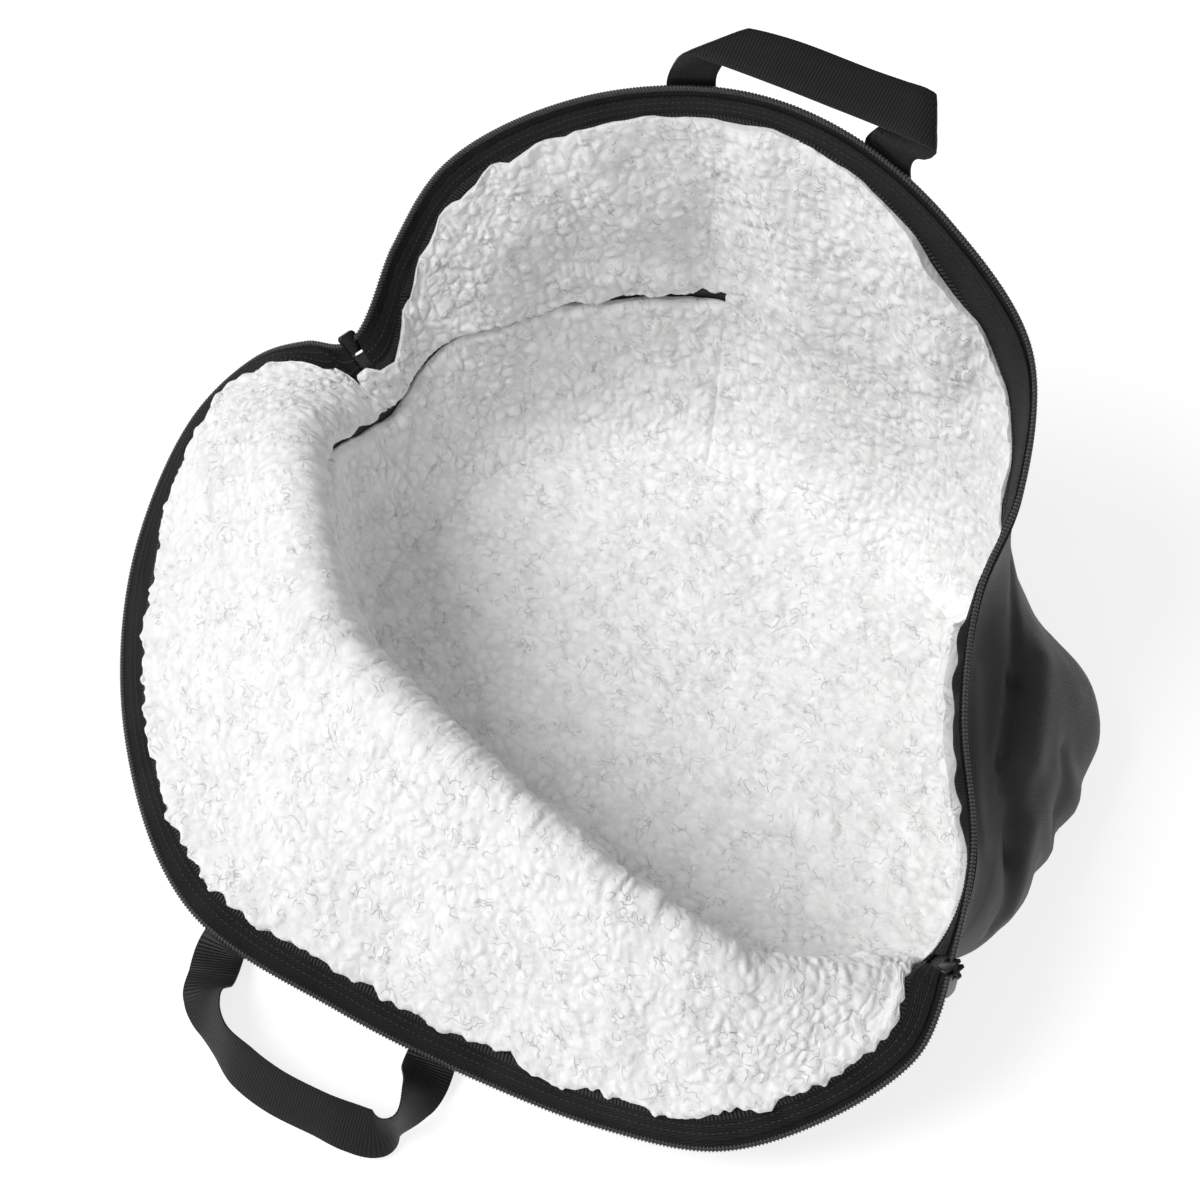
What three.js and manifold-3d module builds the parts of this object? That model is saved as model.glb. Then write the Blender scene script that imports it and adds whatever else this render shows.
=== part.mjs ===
// A soft, fleece-lined bag with a zip over its top, standing open on its base.
// Millimetres, +Z up. The origin is the middle of the flat base, on the floor.
// +X runs along the bag towards the right-hand end of its zip, +Y towards the back half.
// The back half stands up. The front half has folded over a crest and hangs to the floor.

import * as THREE from "three";
import Module from "manifold-3d";

const wasm = await Module();
wasm.setup();

// Cloth, fleece and trim.
const SHELL_WALL = 1.4;
const FLEECE_WALL = 5.5;
const TAPE_WALL = 0.8;
const FACING_WALL = 1.0;
const GAP = 0.35;
const SEAM_GAP = 0.2;
const FLEECE_SEAM_GAP = 0.7;

// The base is flat and turns up into the walls round its heel.
const HEEL_REACH = 16;
const HEEL_RISE = 11;
const BASE_INSET = 1.4;
const FLEECE_BASE_INSET = 6.5;

// Distances down from the rim, which is the middle of the zip's coil.
const FLEECE_DROP = 18;
const SHELL_DROP = 6;
const TAPE_DROP = 13;
const TAPE_TOP = 2.1;
const TAPE_LEAST = 1;
const COIL_RADIUS = 1.5;
const COIL_SIDES = 6;

// The grid that the walls are made on.
const COLUMNS_PER_SECTION = 3;
const LOWER_PARTS = [0, 0.17, 0.52, 1];
const LOWER_ROWS = LOWER_PARTS.length - 1;
const UPPER_PARTS = [0.12, 0.28, 0.5, 0.75, 1];

// Webbing handles.
const WEBBING_WIDTH = 25;
const WEBBING_WALL = 1.7;
const WEBBING_STEPS = 44;
const SEWN_DROPS = [44, 30, 15, -4];

// Sections round the bag, by angle in degrees from +X towards +Y.
// A reach is out from the middle, and a rise is up from the floor.
// The foot is the widest place at the floor, the crest is the front half's fold, and the seam is the
// top edge of the end walls.
const SECTION_COLUMNS = [
  "at", "foot", "bellyReach", "bellyRise", "crestReach", "crestRise",
  "apronReach", "apronRise", "rimReach", "rimRise", "seamRise",
];
const SECTION_ROWS = [
  [0, 178, 188, 28, 198, 54, 206, 74, 215, 86, 56],
  [12, 199, 205, 32, 203, 61, 192, 85, 190, 107, 72],
  [28, 209, 213, 32, 196, 72, 157, 106, 157, 140, 84],
  [47, 220, 224, 34, 199, 80, 155, 120, 154, 160, 96],
  [60, 200, 202, 38, 186, 88, 172, 138, 175, 187, 104],
  [75, 187, 189, 42, 191, 102, 194, 164, 194, 223, 106],
  [92, 178, 186, 42, 189, 112, 188, 190, 184, 267, 106],
  [110, 170, 179, 42, 184, 116, 186, 204, 183, 286, 106],
  [128, 180, 193, 42, 202, 112, 200, 198, 193, 281, 106],
  [148, 190, 201, 40, 209, 102, 214, 180, 213, 250, 104],
  [164, 193, 204, 36, 215, 86, 230, 140, 240, 190, 92],
  [172, 190, 202, 32, 215, 66, 231, 102, 243, 136, 74],
  [180, 184, 197, 30, 209, 58, 221, 80, 235, 91, 58],
  [183, 184, 197, 32, 211, 66, 238, 80, 257, 77, 60],
  [187, 184, 196, 36, 213, 78, 250, 76, 279, 57, 66],
  [195, 184, 193, 46, 209, 96, 252, 72, 289, 37, 82],
  [211, 166, 165, 56, 174, 111, 230, 60, 280, 15, 92],
  [232, 134, 131, 60, 149, 118, 208, 57, 261, 8, 96],
  [254, 110, 107, 62, 124, 121, 186, 54, 245, 9, 98],
  [276, 104, 101, 62, 116, 121, 166, 56, 213, 10, 98],
  [296, 110, 107, 62, 120, 120, 164, 58, 205, 11, 98],
  [314, 132, 128, 58, 137, 115, 178, 59, 214, 13, 94],
  [328, 156, 151, 54, 158, 104, 197, 58, 230, 24, 86],
  [340, 172, 169, 46, 178, 84, 209, 62, 233, 40, 72],
  [351, 178, 181, 40, 192, 76, 214, 73, 232, 62, 64],
  [356, 178, 184, 34, 195, 66, 210, 76, 224, 75, 60],
];

// Folds and dents in the walls. `at` and `wide` are degrees round the bag, `from` and `to` are
// fractions of the way up the wall, and `depth` is millimetres in (minus is out).
const FOLD_COLUMNS = ["at", "wide", "from", "to", "depth"];
const FOLD_ROWS = [
  [22, 6, 0.3, 0.75, 6],
  [25, 2.5, 0.02, 0.4, 4],
  [32, 2.5, 0.02, 0.45, 5],
  [40, 3, 0.02, 0.5, 5],
  [53, 5, 0.1, 0.5, -4],
  [68, 4, 0.3, 0.8, 5],
  [84, 7, 0.45, 0.95, -6],
  [131, 3.5, 0.36, 0.86, -5],
  [157, 6, 0.4, 0.9, 5],
  [204, 6, 0.6, 0.95, 6],
  [243, 8, 0.6, 0.95, -4],
  [286, 6, 0.6, 0.95, 4],
  [320, 4, 0.6, 0.95, -4],
];

// Each handle is sewn on at two angles, a gap off the wall. Its free run is given by the middle of the
// webbing, and the way that its width points: a heading in degrees from +X towards +Y, and a climb.
const HANDLE_COLUMNS = ["x", "y", "z", "heading", "climb"];
const FRONT_HANDLE = {
  from: 260,
  to: 289.5,
  gap: 1.55,
  rows: [
    [-34, -248, 6, 9, 14],
    [-26, -258, 10, 3, 32],
    [-15, -264, 13, 19, 46],
    [-1, -267, 13, 34, 57],
    [16, -267, 13, 86, 53],
    [35, -263, 13, 107, 52],
    [57, -254, 13, 106, 53],
    [73, -246, 12, 112, 45],
    [83, -239, 12, 109, 46],
    [87, -230, 14, 100, 75],
    [82, -214, 13, 208, 58],
  ],
};
const BACK_HANDLE = {
  from: 134.5,
  to: 104.5,
  gap: 1.35,
  rows: [
    [-137, 145, 287, 204, -30],
    [-129, 153, 299, 130, -24],
    [-114, 160, 305, 108, 6],
    [-97, 166, 306, 103, 10],
    [-71, 177, 306, 105, 11],
    [-53, 184, 307, 103, 13],
    [-44, 186, 305, 70, 15],
    [-41, 185, 296, 30, 5],
  ],
};

// Zip ends, by angle, and the length of coil left off for the slider at each.
const ZIP_RIGHT = 0;
const ZIP_LEFT = 180;
const ZIP_END_COIL = 8.5;

// Sliders and their pulls.
const SLIDER_LENGTH = 11.2;
const SLIDER_MOUTH = 9;
const SLIDER_TAIL = 6;
const SLIDER_PLATE = 1.1;
const SLIDER_HALF = 2.1;
const CROWN_LENGTH = 8;
const CROWN_RISE = 3.8;
const CROWN_BAND = 1.2;
const CROWN_WIDTH = 2.2;
const CROWN_FLOOR = 0.1;
const PULL_LENGTH = 26;
const PULL_WIDTH = 6.4;
const PULL_WALL = 1.4;
const PULL_EYE_LENGTH = 4.6;
const PULL_EYE_WIDTH = 3.2;

const named = (columns, row) => Object.fromEntries(columns.map((name, k) => [name, row[k]]));
const SECTIONS = SECTION_ROWS.map((row) => named(SECTION_COLUMNS, row));
const FOLDS = FOLD_ROWS.map((row) => named(FOLD_COLUMNS, row));
const FLEECE_OUT = SHELL_WALL + GAP;
const FLEECE_IN = FLEECE_OUT + FLEECE_WALL;
const TAPE_OUT = SHELL_WALL + GAP;
const TAPE_IN = TAPE_OUT + TAPE_WALL;
const FACING_OUT = TAPE_IN + GAP;
const FACING_IN = FACING_OUT + FACING_WALL;
const COIL_DEPTH = (TAPE_OUT + TAPE_IN) / 2;

const materials = {
  shell: ["#26272a", 0.85, 0],
  fleece: ["#e9e7e3", 1, 0],
  trim: ["#1c1d1f", 0.8, 0],
  coil: ["#17181a", 0.45, 0],
  metal: ["#2b2c2f", 0.4, 0.8],
};

function mesh(name, geometry, finish) {
  const [color, roughness, metalness] = materials[finish];
  const made = new THREE.Mesh(geometry, new THREE.MeshStandardMaterial({ color, roughness, metalness }));
  made.name = name;
  return made;
}

function prism(shape, depth) {
  return new THREE.ExtrudeGeometry(shape, { depth, bevelEnabled: false });
}

// The wall's outer face.

function polar(at, reach, rise) {
  const turn = THREE.MathUtils.degToRad(at);
  return new THREE.Vector3(reach * Math.cos(turn), reach * Math.sin(turn), rise);
}

function ring(place) {
  return new THREE.CatmullRomCurve3(SECTIONS.map((row) => polar(row.at, ...place(row))), true);
}

const RINGS = [
  ring((row) => [row.foot - HEEL_REACH, 0]),
  ring((row) => [row.foot, HEEL_RISE]),
  ring((row) => [row.bellyReach, row.bellyRise]),
  ring((row) => [row.crestReach, row.crestRise]),
  ring((row) => [row.apronReach, row.apronRise]),
  ring((row) => [row.rimReach, row.rimRise]),
];
const SEAM_RING = ring((row) => [row.foot, row.seamRise]);
const profiles = new Map();

function profile(u) {
  const turn = THREE.MathUtils.euclideanModulo(u, 1);
  const key = turn.toFixed(7);
  if (!profiles.has(key)) {
    const curve = new THREE.CatmullRomCurve3(RINGS.map((each) => each.getPoint(turn)));
    profiles.set(key, { curve, length: curve.getLength() });
  }
  return profiles.get(key);
}

// The section number that an angle falls at, as a fraction of the way round.
function roundAt(angle) {
  const last = SECTIONS.length;
  for (let k = 0; k < last; k += 1) {
    const start = SECTIONS[k].at;
    const end = k + 1 < last ? SECTIONS[k + 1].at : SECTIONS[0].at + 360;
    if (angle >= start && angle < end) return (k + (angle - start) / (end - start)) / last;
  }
  return 0;
}

function foldDepth(u, part) {
  const spot = THREE.MathUtils.euclideanModulo(u, 1);
  const at = RINGS[3].getPoint(spot);
  const angle = THREE.MathUtils.euclideanModulo(THREE.MathUtils.radToDeg(Math.atan2(at.y, at.x)), 360);
  let depth = 0;
  for (const fold of FOLDS) {
    const away = (angle - fold.at) / fold.wide;
    if (Math.abs(away) > 3 || part <= fold.from || part >= fold.to) continue;
    const along = (part - fold.from) / (fold.to - fold.from);
    depth += fold.depth * Math.exp(-away * away) * Math.sin(Math.PI * along) ** 2;
  }
  return depth;
}

function plainPoint(u, part) {
  const { curve } = profile(u);
  return curve.getPointAt(THREE.MathUtils.clamp(part, 0, 1));
}

function normalOf(pointAt, u, part) {
  const du = 0.001;
  const dv = 0.004;
  const low = Math.max(part - dv, 0);
  const high = Math.min(part + dv, 1);
  const across = pointAt(u + du, part).sub(pointAt(u - du, part));
  const up = pointAt(u, high).sub(pointAt(u, low));
  return across.cross(up).normalize();
}

function facePoint(u, part) {
  const depth = foldDepth(u, part);
  const point = plainPoint(u, part);
  if (depth !== 0) point.addScaledVector(normalOf(plainPoint, u, part), -depth);
  return point;
}

const faces = new Map();

// A place on the outer face and its normal, where `along` is millimetres up the wall.
function wallFace(u, along) {
  const part = along / profile(u).length;
  const key = `${u.toFixed(7)} ${part.toFixed(6)}`;
  if (!faces.has(key)) {
    faces.set(key, { point: facePoint(u, part), normal: normalOf(facePoint, u, part) });
  }
  return faces.get(key);
}

// The point at a depth in from the outer face.
function wallPoint(u, along, depth) {
  const { point, normal } = wallFace(u, along);
  return point.clone().addScaledVector(normal, -depth);
}

// How far up the wall the end walls' seam runs.
const seams = new Map();

function seamAlong(u) {
  const key = u.toFixed(7);
  if (!seams.has(key)) {
    const { curve, length } = profile(u);
    const rise = SEAM_RING.getPoint(THREE.MathUtils.euclideanModulo(u, 1)).z;
    let part = 0;
    while (part < 1 && curve.getPointAt(part).z < rise) part += 0.005;
    seams.set(key, Math.min(part, 0.72) * length);
  }
  return seams.get(key);
}

// How far the rim is from running straight up the wall: 1 where it crosses the wall squarely.
function rimSlant(u) {
  const rim = RINGS[RINGS.length - 1].getTangent(THREE.MathUtils.euclideanModulo(u, 1));
  return rim.cross(profile(u).curve.getTangent(1)).length();
}

// Drops are square to the rim, so they lengthen where the rim runs aslant, up to a limit.
function dropped(u, drop) {
  return profile(u).length - drop / Math.max(rimSlant(u), 0.5);
}

const fleeceTop = (u) => dropped(u, FLEECE_DROP);
const WALL_ROWS = LOWER_PARTS.map((part) => (u) => seamAlong(u) * part);
for (const part of UPPER_PARTS) {
  WALL_ROWS.push((u) => THREE.MathUtils.lerp(seamAlong(u), fleeceTop(u), part));
}
const tapeFoot = (u) => dropped(u, TAPE_DROP);
const shellTop = (u) => dropped(u, SHELL_DROP);
const SHELL_ROWS = [...WALL_ROWS, tapeFoot, shellTop];
const FACING_ROWS = [(u) => dropped(u, FLEECE_DROP - 2 * FLEECE_SEAM_GAP), tapeFoot, shellTop];
const tapeTop = (u) => Math.max(profile(u).length - TAPE_TOP / rimSlant(u) ** 2, shellTop(u) + TAPE_LEAST);
const TAPE_ROWS = [tapeFoot, shellTop, tapeTop];

// The solid between two depths of the wall, over the cells of a grid that `covers` picks.
// Its edges keep `inset` from the grid's lines, which leaves the seams open by twice that.
function slab({ columns, closed, rows, covers, outer, inner, inset }) {
  const width = closed ? columns.length : columns.length - 1;
  const height = rows.length - 1;
  const wrap = (i) => (closed ? THREE.MathUtils.euclideanModulo(i, columns.length) : i);
  const has = (i, j) => {
    const column = wrap(i);
    return column >= 0 && column < width && j >= 0 && j < height && covers(column, j);
  };
  const plain = (i, j, depth) => {
    const u = columns[wrap(i)];
    return wallPoint(u, rows[j](u), depth);
  };
  const places = [];
  const numbers = new Map();
  const corner = (i, j, depth) => {
    const key = `${wrap(i)} ${j} ${depth}`;
    if (numbers.has(key)) return numbers.get(key);
    const spot = plain(i, j, depth);
    const middle = new THREE.Vector3();
    let count = 0;
    for (const [a, b] of [[i - 1, j - 1], [i, j - 1], [i - 1, j], [i, j]]) {
      if (!has(a, b)) continue;
      for (const [c, d] of [[a, b], [a + 1, b], [a + 1, b + 1], [a, b + 1]]) middle.add(plain(c, d, depth));
      count += 4;
    }
    if (count < 16) {
      const { normal } = wallFace(columns[wrap(i)], rows[j](columns[wrap(i)]));
      const inward = middle.divideScalar(count).sub(spot);
      inward.addScaledVector(normal, -inward.dot(normal)).normalize();
      spot.addScaledVector(inward, inset * (count === 4 ? Math.SQRT2 : 1));
    }
    numbers.set(key, places.length / 3);
    places.push(spot.x, spot.y, spot.z);
    return numbers.get(key);
  };
  const triangles = [];
  const quad = (a, b, c, d) => triangles.push(a, b, c, a, c, d);
  for (let i = 0; i < width; i += 1) {
    for (let j = 0; j < height; j += 1) {
      if (!has(i, j)) continue;
      const loop = [[i, j], [i + 1, j], [i + 1, j + 1], [i, j + 1]];
      const out = loop.map(([a, b]) => corner(a, b, outer));
      const back = loop.map(([a, b]) => corner(a, b, inner));
      quad(out[0], out[1], out[2], out[3]);
      quad(back[0], back[3], back[2], back[1]);
      const beyond = [[i, j - 1], [i + 1, j], [i, j + 1], [i - 1, j]];
      beyond.forEach(([a, b], side) => {
        const next = (side + 1) % 4;
        if (!has(a, b)) quad(out[next], out[side], back[side], back[next]);
      });
    }
  }
  const geometry = new THREE.BufferGeometry();
  geometry.setAttribute("position", new THREE.Float32BufferAttribute(places, 3));
  geometry.setIndex(triangles);
  geometry.computeVertexNormals();
  return geometry;
}

// Zip ends, and the places round the rim where the coils stop short of the sliders.

function rimPoint(u) {
  return wallPoint(u, profile(u).length, COIL_DEPTH);
}

function rimFrom(u, length, step) {
  let at = u;
  let walked = 0;
  let last = rimPoint(u);
  while (walked < length) {
    at += step;
    const next = rimPoint(at);
    walked += next.distanceTo(last);
    last = next;
  }
  return at;
}

const FINE = 1 / (SECTIONS.length * 180);
const U_RIGHT = roundAt(ZIP_RIGHT);
const U_LEFT = roundAt(ZIP_LEFT);
const SIDES = {
  back: [rimFrom(U_RIGHT, ZIP_END_COIL, FINE), rimFrom(U_LEFT, ZIP_END_COIL, -FINE)],
  front: [rimFrom(U_LEFT, ZIP_END_COIL, FINE), rimFrom(U_RIGHT + 1, ZIP_END_COIL, -FINE)],
};

// Wall panels share one set of columns, and the zip bands start and stop on columns of it.

const COLUMN_STEP = 1 / (SECTIONS.length * COLUMNS_PER_SECTION);
const COLUMNS = Object.values(SIDES).flat();
for (let k = 0; k < SECTIONS.length * COLUMNS_PER_SECTION; k += 1) {
  const u = k * COLUMN_STEP;
  const onSection = k % COLUMNS_PER_SECTION === 0;
  const crowded = COLUMNS.some((other) => Math.abs(other - u) < 0.35 * COLUMN_STEP);
  if (onSection || !crowded) COLUMNS.push(u);
}
COLUMNS.sort((a, b) => a - b);

function columnAt(angle) {
  const u = roundAt(angle);
  return COLUMNS.findIndex((each) => Math.abs(each - u) < 1e-9);
}

const LEFT_END = [columnAt(128), columnAt(211)];
const RIGHT_END = [columnAt(328), columnAt(47)];
const ZIP_LEFT_COLUMN = columnAt(ZIP_LEFT);
const inLeftEnd = (i, j) => j < LOWER_ROWS && i >= LEFT_END[0] && i < LEFT_END[1];
const inRightEnd = (i, j) => j < LOWER_ROWS && (i >= RIGHT_END[0] || i < RIGHT_END[1]);
const inBack = (i, j) => i < ZIP_LEFT_COLUMN && !inLeftEnd(i, j) && !inRightEnd(i, j);
const inFront = (i, j) => i >= ZIP_LEFT_COLUMN && !inLeftEnd(i, j) && !inRightEnd(i, j);
const PANELS = { front: inFront, back: inBack, end_left: inLeftEnd, end_right: inRightEnd };

function panel(covers, rows, outer, inner, inset) {
  return slab({ columns: COLUMNS, closed: true, rows, covers, outer, inner, inset });
}

function basePlate(inset, from, to) {
  const outline = COLUMNS.map((u) => {
    const spot = RINGS[0].getPoint(u);
    const reach = Math.hypot(spot.x, spot.y);
    return new THREE.Vector2(spot.x, spot.y).multiplyScalar((reach - inset) / reach);
  });
  return prism(new THREE.Shape(outline), to - from).translate(0, 0, from);
}

// Zip bands and coils, from one zip end to the other.

function columnsBetween([from, to]) {
  return COLUMNS.filter((u) => u >= from - 1e-9 && u <= to + 1e-9);
}

function band(side, rows, outer, inner) {
  const columns = columnsBetween(SIDES[side]);
  return slab({ columns, closed: false, rows, covers: () => true, outer, inner, inset: 0 });
}

// A solid swept through frames. The outline is in millimetres across the path and out of its face.
function sweep(frames, outline) {
  const places = [];
  const triangles = [];
  const count = outline.length;
  for (const { middle, across, face } of frames) {
    for (const [a, b] of outline) {
      const spot = middle.clone().addScaledVector(across, a).addScaledVector(face, b);
      places.push(spot.x, spot.y, spot.z);
    }
  }
  for (let k = 0; k + 1 < frames.length; k += 1) {
    for (let side = 0; side < count; side += 1) {
      const near = k * count + side;
      const beside = k * count + ((side + 1) % count);
      triangles.push(near, beside, beside + count, near, beside + count, near + count);
    }
  }
  const end = (frames.length - 1) * count;
  for (let side = 1; side + 1 < count; side += 1) {
    triangles.push(0, side + 1, side, end, end + side, end + side + 1);
  }
  const geometry = new THREE.BufferGeometry();
  geometry.setAttribute("position", new THREE.Float32BufferAttribute(places, 3));
  geometry.setIndex(triangles);
  geometry.computeVertexNormals();
  return geometry;
}

function frameFrom(middle, along, wide) {
  const across = wide.clone().addScaledVector(along, -wide.dot(along)).normalize();
  return { middle, across, face: along.clone().cross(across) };
}

function coil(side) {
  const columns = columnsBetween(SIDES[side]);
  const places = columns.map(rimPoint);
  const last = columns.length - 1;
  const frames = columns.map((u, k) => {
    const along = places[Math.min(k + 1, last)].clone().sub(places[Math.max(k - 1, 0)]).normalize();
    return frameFrom(places[k], along, wallFace(u, profile(u).length).normal);
  });
  const outline = Array.from({ length: COIL_SIDES }, (_, k) => {
    const turn = (2 * Math.PI * k) / COIL_SIDES;
    return [COIL_RADIUS * Math.cos(turn), COIL_RADIUS * Math.sin(turn)];
  });
  return sweep(frames, outline);
}

// Webbing: a flat strip through stations, each with a middle and the way its width points.
function webbing(stations) {
  const line = new THREE.CatmullRomCurve3(stations.map((each) => each.middle));
  const wide = new THREE.CatmullRomCurve3(stations.map((each) => each.across));
  const frames = Array.from({ length: WEBBING_STEPS + 1 }, (_, k) => {
    const t = k / WEBBING_STEPS;
    return frameFrom(line.getPoint(t), line.getTangent(t), wide.getPoint(t));
  });
  const half = WEBBING_WIDTH / 2;
  const thin = WEBBING_WALL / 2;
  return sweep(frames, [[-half, -thin], [half, -thin], [half, thin], [-half, thin]]);
}

// The sewn ends lie on the outer face, under the rim, and the free run goes from one to the other.
function handle({ from, to, gap, rows }) {
  const depth = -(gap + WEBBING_WALL / 2);
  const sewn = (angle, sign) => {
    const u = roundAt(angle);
    const { curve, length } = profile(u);
    return SEWN_DROPS.map((drop) => {
      const along = length - Math.max(drop, 0);
      const middle = wallPoint(u, along, depth);
      const across = wallPoint(u + 0.0015, along, depth).sub(middle).normalize().multiplyScalar(sign);
      middle.addScaledVector(curve.getTangent(1), Math.max(-drop, 0));
      return { middle, across };
    });
  };
  const free = rows.map((row) => {
    const { x, y, z, heading, climb } = named(HANDLE_COLUMNS, row);
    const turn = THREE.MathUtils.degToRad(heading);
    const lift = THREE.MathUtils.degToRad(climb);
    const level = Math.cos(lift);
    const across = new THREE.Vector3(level * Math.cos(turn), level * Math.sin(turn), Math.sin(lift));
    return { middle: new THREE.Vector3(x, y, z), across };
  });
  return webbing([...sewn(from, 1), ...free, ...sewn(to, -1).reverse()]);
}

// Sliders.

function toSolid(geometry) {
  const flat = geometry.index ? geometry.toNonIndexed() : geometry;
  const vertProperties = Float32Array.from(flat.getAttribute("position").array);
  const triVerts = Uint32Array.from({ length: vertProperties.length / 3 }, (_, k) => k);
  const raw = new wasm.Mesh({ numProp: 3, vertProperties, triVerts });
  raw.merge();
  return new wasm.Manifold(raw);
}

function fromSolid(solid) {
  const raw = solid.getMesh();
  const geometry = new THREE.BufferGeometry();
  geometry.setAttribute("position", new THREE.Float32BufferAttribute(raw.vertProperties, raw.numProp));
  geometry.setIndex(Array.from(raw.triVerts));
  geometry.computeVertexNormals();
  return geometry;
}

function outlineShape(points) {
  return new THREE.Shape(points.map(([a, b]) => new THREE.Vector2(a, b)));
}

// X is across the slider, Y up through its mouth and Z out of the bag.
function sliderGeometry() {
  const top = SLIDER_LENGTH / 2;
  const mouth = SLIDER_MOUTH / 2;
  const tail = SLIDER_TAIL / 2;
  const shield = outlineShape([
    [-tail, -top], [tail, -top], [mouth - 0.6, 0.5], [mouth, top - 1.5], [mouth - 1, top],
    [1 - mouth, top], [-mouth, top - 1.5], [0.6 - mouth, 0.5],
  ]);
  const upper = prism(shield, SLIDER_PLATE).translate(0, 0, SLIDER_HALF - SLIDER_PLATE);
  const lower = prism(shield, SLIDER_PLATE).translate(0, 0, -SLIDER_HALF);
  const wedge = outlineShape([
    [0, -1.5], [1.5, top - 1.5], [1, top - 0.3], [-1, top - 0.3], [-1.5, top - 1.5],
  ]);
  const post = prism(wedge, 2 * SLIDER_HALF - SLIDER_PLATE);
  post.translate(0, 0, SLIDER_PLATE / 2 - SLIDER_HALF);
  const half = CROWN_LENGTH / 2;
  const foot = SLIDER_HALF - SLIDER_PLATE / 2;
  const head = SLIDER_HALF + CROWN_RISE;
  const arch = outlineShape([
    [-half, foot], [half, foot], [half, head - 1], [half - 1, head], [1 - half, head], [-half, head - 1],
  ]);
  const slot = half - CROWN_BAND;
  const floor = SLIDER_HALF + CROWN_FLOOR;
  arch.holes.push(outlineShape([
    [-slot, floor], [slot, floor], [slot, head - CROWN_BAND], [-slot, head - CROWN_BAND],
  ]));
  const crown = prism(arch, CROWN_WIDTH).translate(0, 0, -CROWN_WIDTH / 2);
  crown.rotateY(Math.PI / 2).rotateX(Math.PI / 2);
  const pieces = [upper, lower, post, crown].map(toSolid);
  return fromSolid(pieces.reduce((solid, each) => solid.add(each)));
}

// The pull hangs down -Y from the crossbar at its head, which passes under the slider's crown.
function pullGeometry() {
  const wide = PULL_WIDTH / 2;
  const bar = PULL_WALL / 2;
  const low = -PULL_LENGTH;
  const tab = outlineShape([
    [-wide, bar - 0.3], [0.3 - wide, bar], [wide - 0.3, bar], [wide, bar - 0.3], [wide, low + 3],
    [wide - 1, low + 1], [wide - 2.4, low], [2.4 - wide, low], [1 - wide, low + 1], [-wide, low + 3],
  ].reverse());
  const eye = PULL_EYE_WIDTH / 2;
  const foot = -bar - PULL_EYE_LENGTH;
  tab.holes.push(outlineShape([[-eye, foot], [eye, foot], [eye, -bar], [-eye, -bar]]));
  return prism(tab, PULL_WALL).translate(0, 0, -PULL_WALL / 2);
}

// The slider's frame at a zip end: level across, up the wall and out of the bag.
function zipEnd(angle) {
  const u = roundAt(angle);
  const { curve, length } = profile(u);
  const turn = THREE.MathUtils.degToRad(angle);
  const across = new THREE.Vector3(-Math.sin(turn), Math.cos(turn), 0);
  const up = curve.getTangentAt(1);
  up.addScaledVector(across, -up.dot(across)).normalize();
  const out = across.clone().cross(up);
  const place = wallPoint(u, length, COIL_DEPTH);
  return { across, up, out, place };
}

function sliderAt(angle) {
  const { across, up, out, place } = zipEnd(angle);
  return sliderGeometry().applyMatrix4(new THREE.Matrix4().makeBasis(across, up, out).setPosition(place));
}

function pullAt(angle) {
  const { across, out, place } = zipEnd(angle);
  const rise = SLIDER_HALF + (CROWN_FLOOR + CROWN_RISE - CROWN_BAND) / 2;
  const axis = place.clone().addScaledVector(out, rise);
  const up = new THREE.Vector3(0, 0, 1);
  const face = across.clone().cross(up);
  return pullGeometry().applyMatrix4(new THREE.Matrix4().makeBasis(across, up, face).setPosition(axis));
}

const bag = new THREE.Group();
bag.name = "bag";
bag.add(mesh("shell_base", basePlate(BASE_INSET, 0, SHELL_WALL), "shell"));
bag.add(mesh("lining_base", basePlate(FLEECE_BASE_INSET, FLEECE_OUT, FLEECE_IN), "fleece"));
for (const [name, covers] of Object.entries(PANELS)) {
  const cloth = panel(covers, SHELL_ROWS, 0, SHELL_WALL, SEAM_GAP);
  const fleece = panel(covers, WALL_ROWS, FLEECE_OUT, FLEECE_IN, FLEECE_SEAM_GAP);
  bag.add(mesh(`shell_${name}`, cloth, "shell"));
  bag.add(mesh(`lining_${name}`, fleece, "fleece"));
}
for (const side of ["front", "back"]) {
  bag.add(mesh(`facing_${side}`, band(side, FACING_ROWS, FACING_OUT, FACING_IN), "trim"));
  bag.add(mesh(`zip_tape_${side}`, band(side, TAPE_ROWS, TAPE_OUT, TAPE_IN), "trim"));
  bag.add(mesh(`zip_coil_${side}`, coil(side), "coil"));
}
bag.add(mesh("handle_front", handle(FRONT_HANDLE), "trim"));
bag.add(mesh("handle_back", handle(BACK_HANDLE), "trim"));
for (const [side, angle] of [["left", ZIP_LEFT], ["right", ZIP_RIGHT]]) {
  bag.add(mesh(`slider_${side}`, sliderAt(angle), "metal"));
  bag.add(mesh(`pull_${side}`, pullAt(angle), "metal"));
}

export default bag;
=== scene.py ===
"""Dresses an open, fleece-lined helmet bag: its cloth, lining, zip, webbing and a plain studio.

The bag's form is worked out in millimetres, as a pattern cutter would, and its meshes are set in metres.
"""

import logging
import math
from dataclasses import dataclass, field
from enum import Enum, IntEnum
from typing import Any, Callable, Optional, Sequence, Union

import bmesh
import bpy
import numpy as np
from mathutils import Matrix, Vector
from mathutils.kdtree import KDTree


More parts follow.
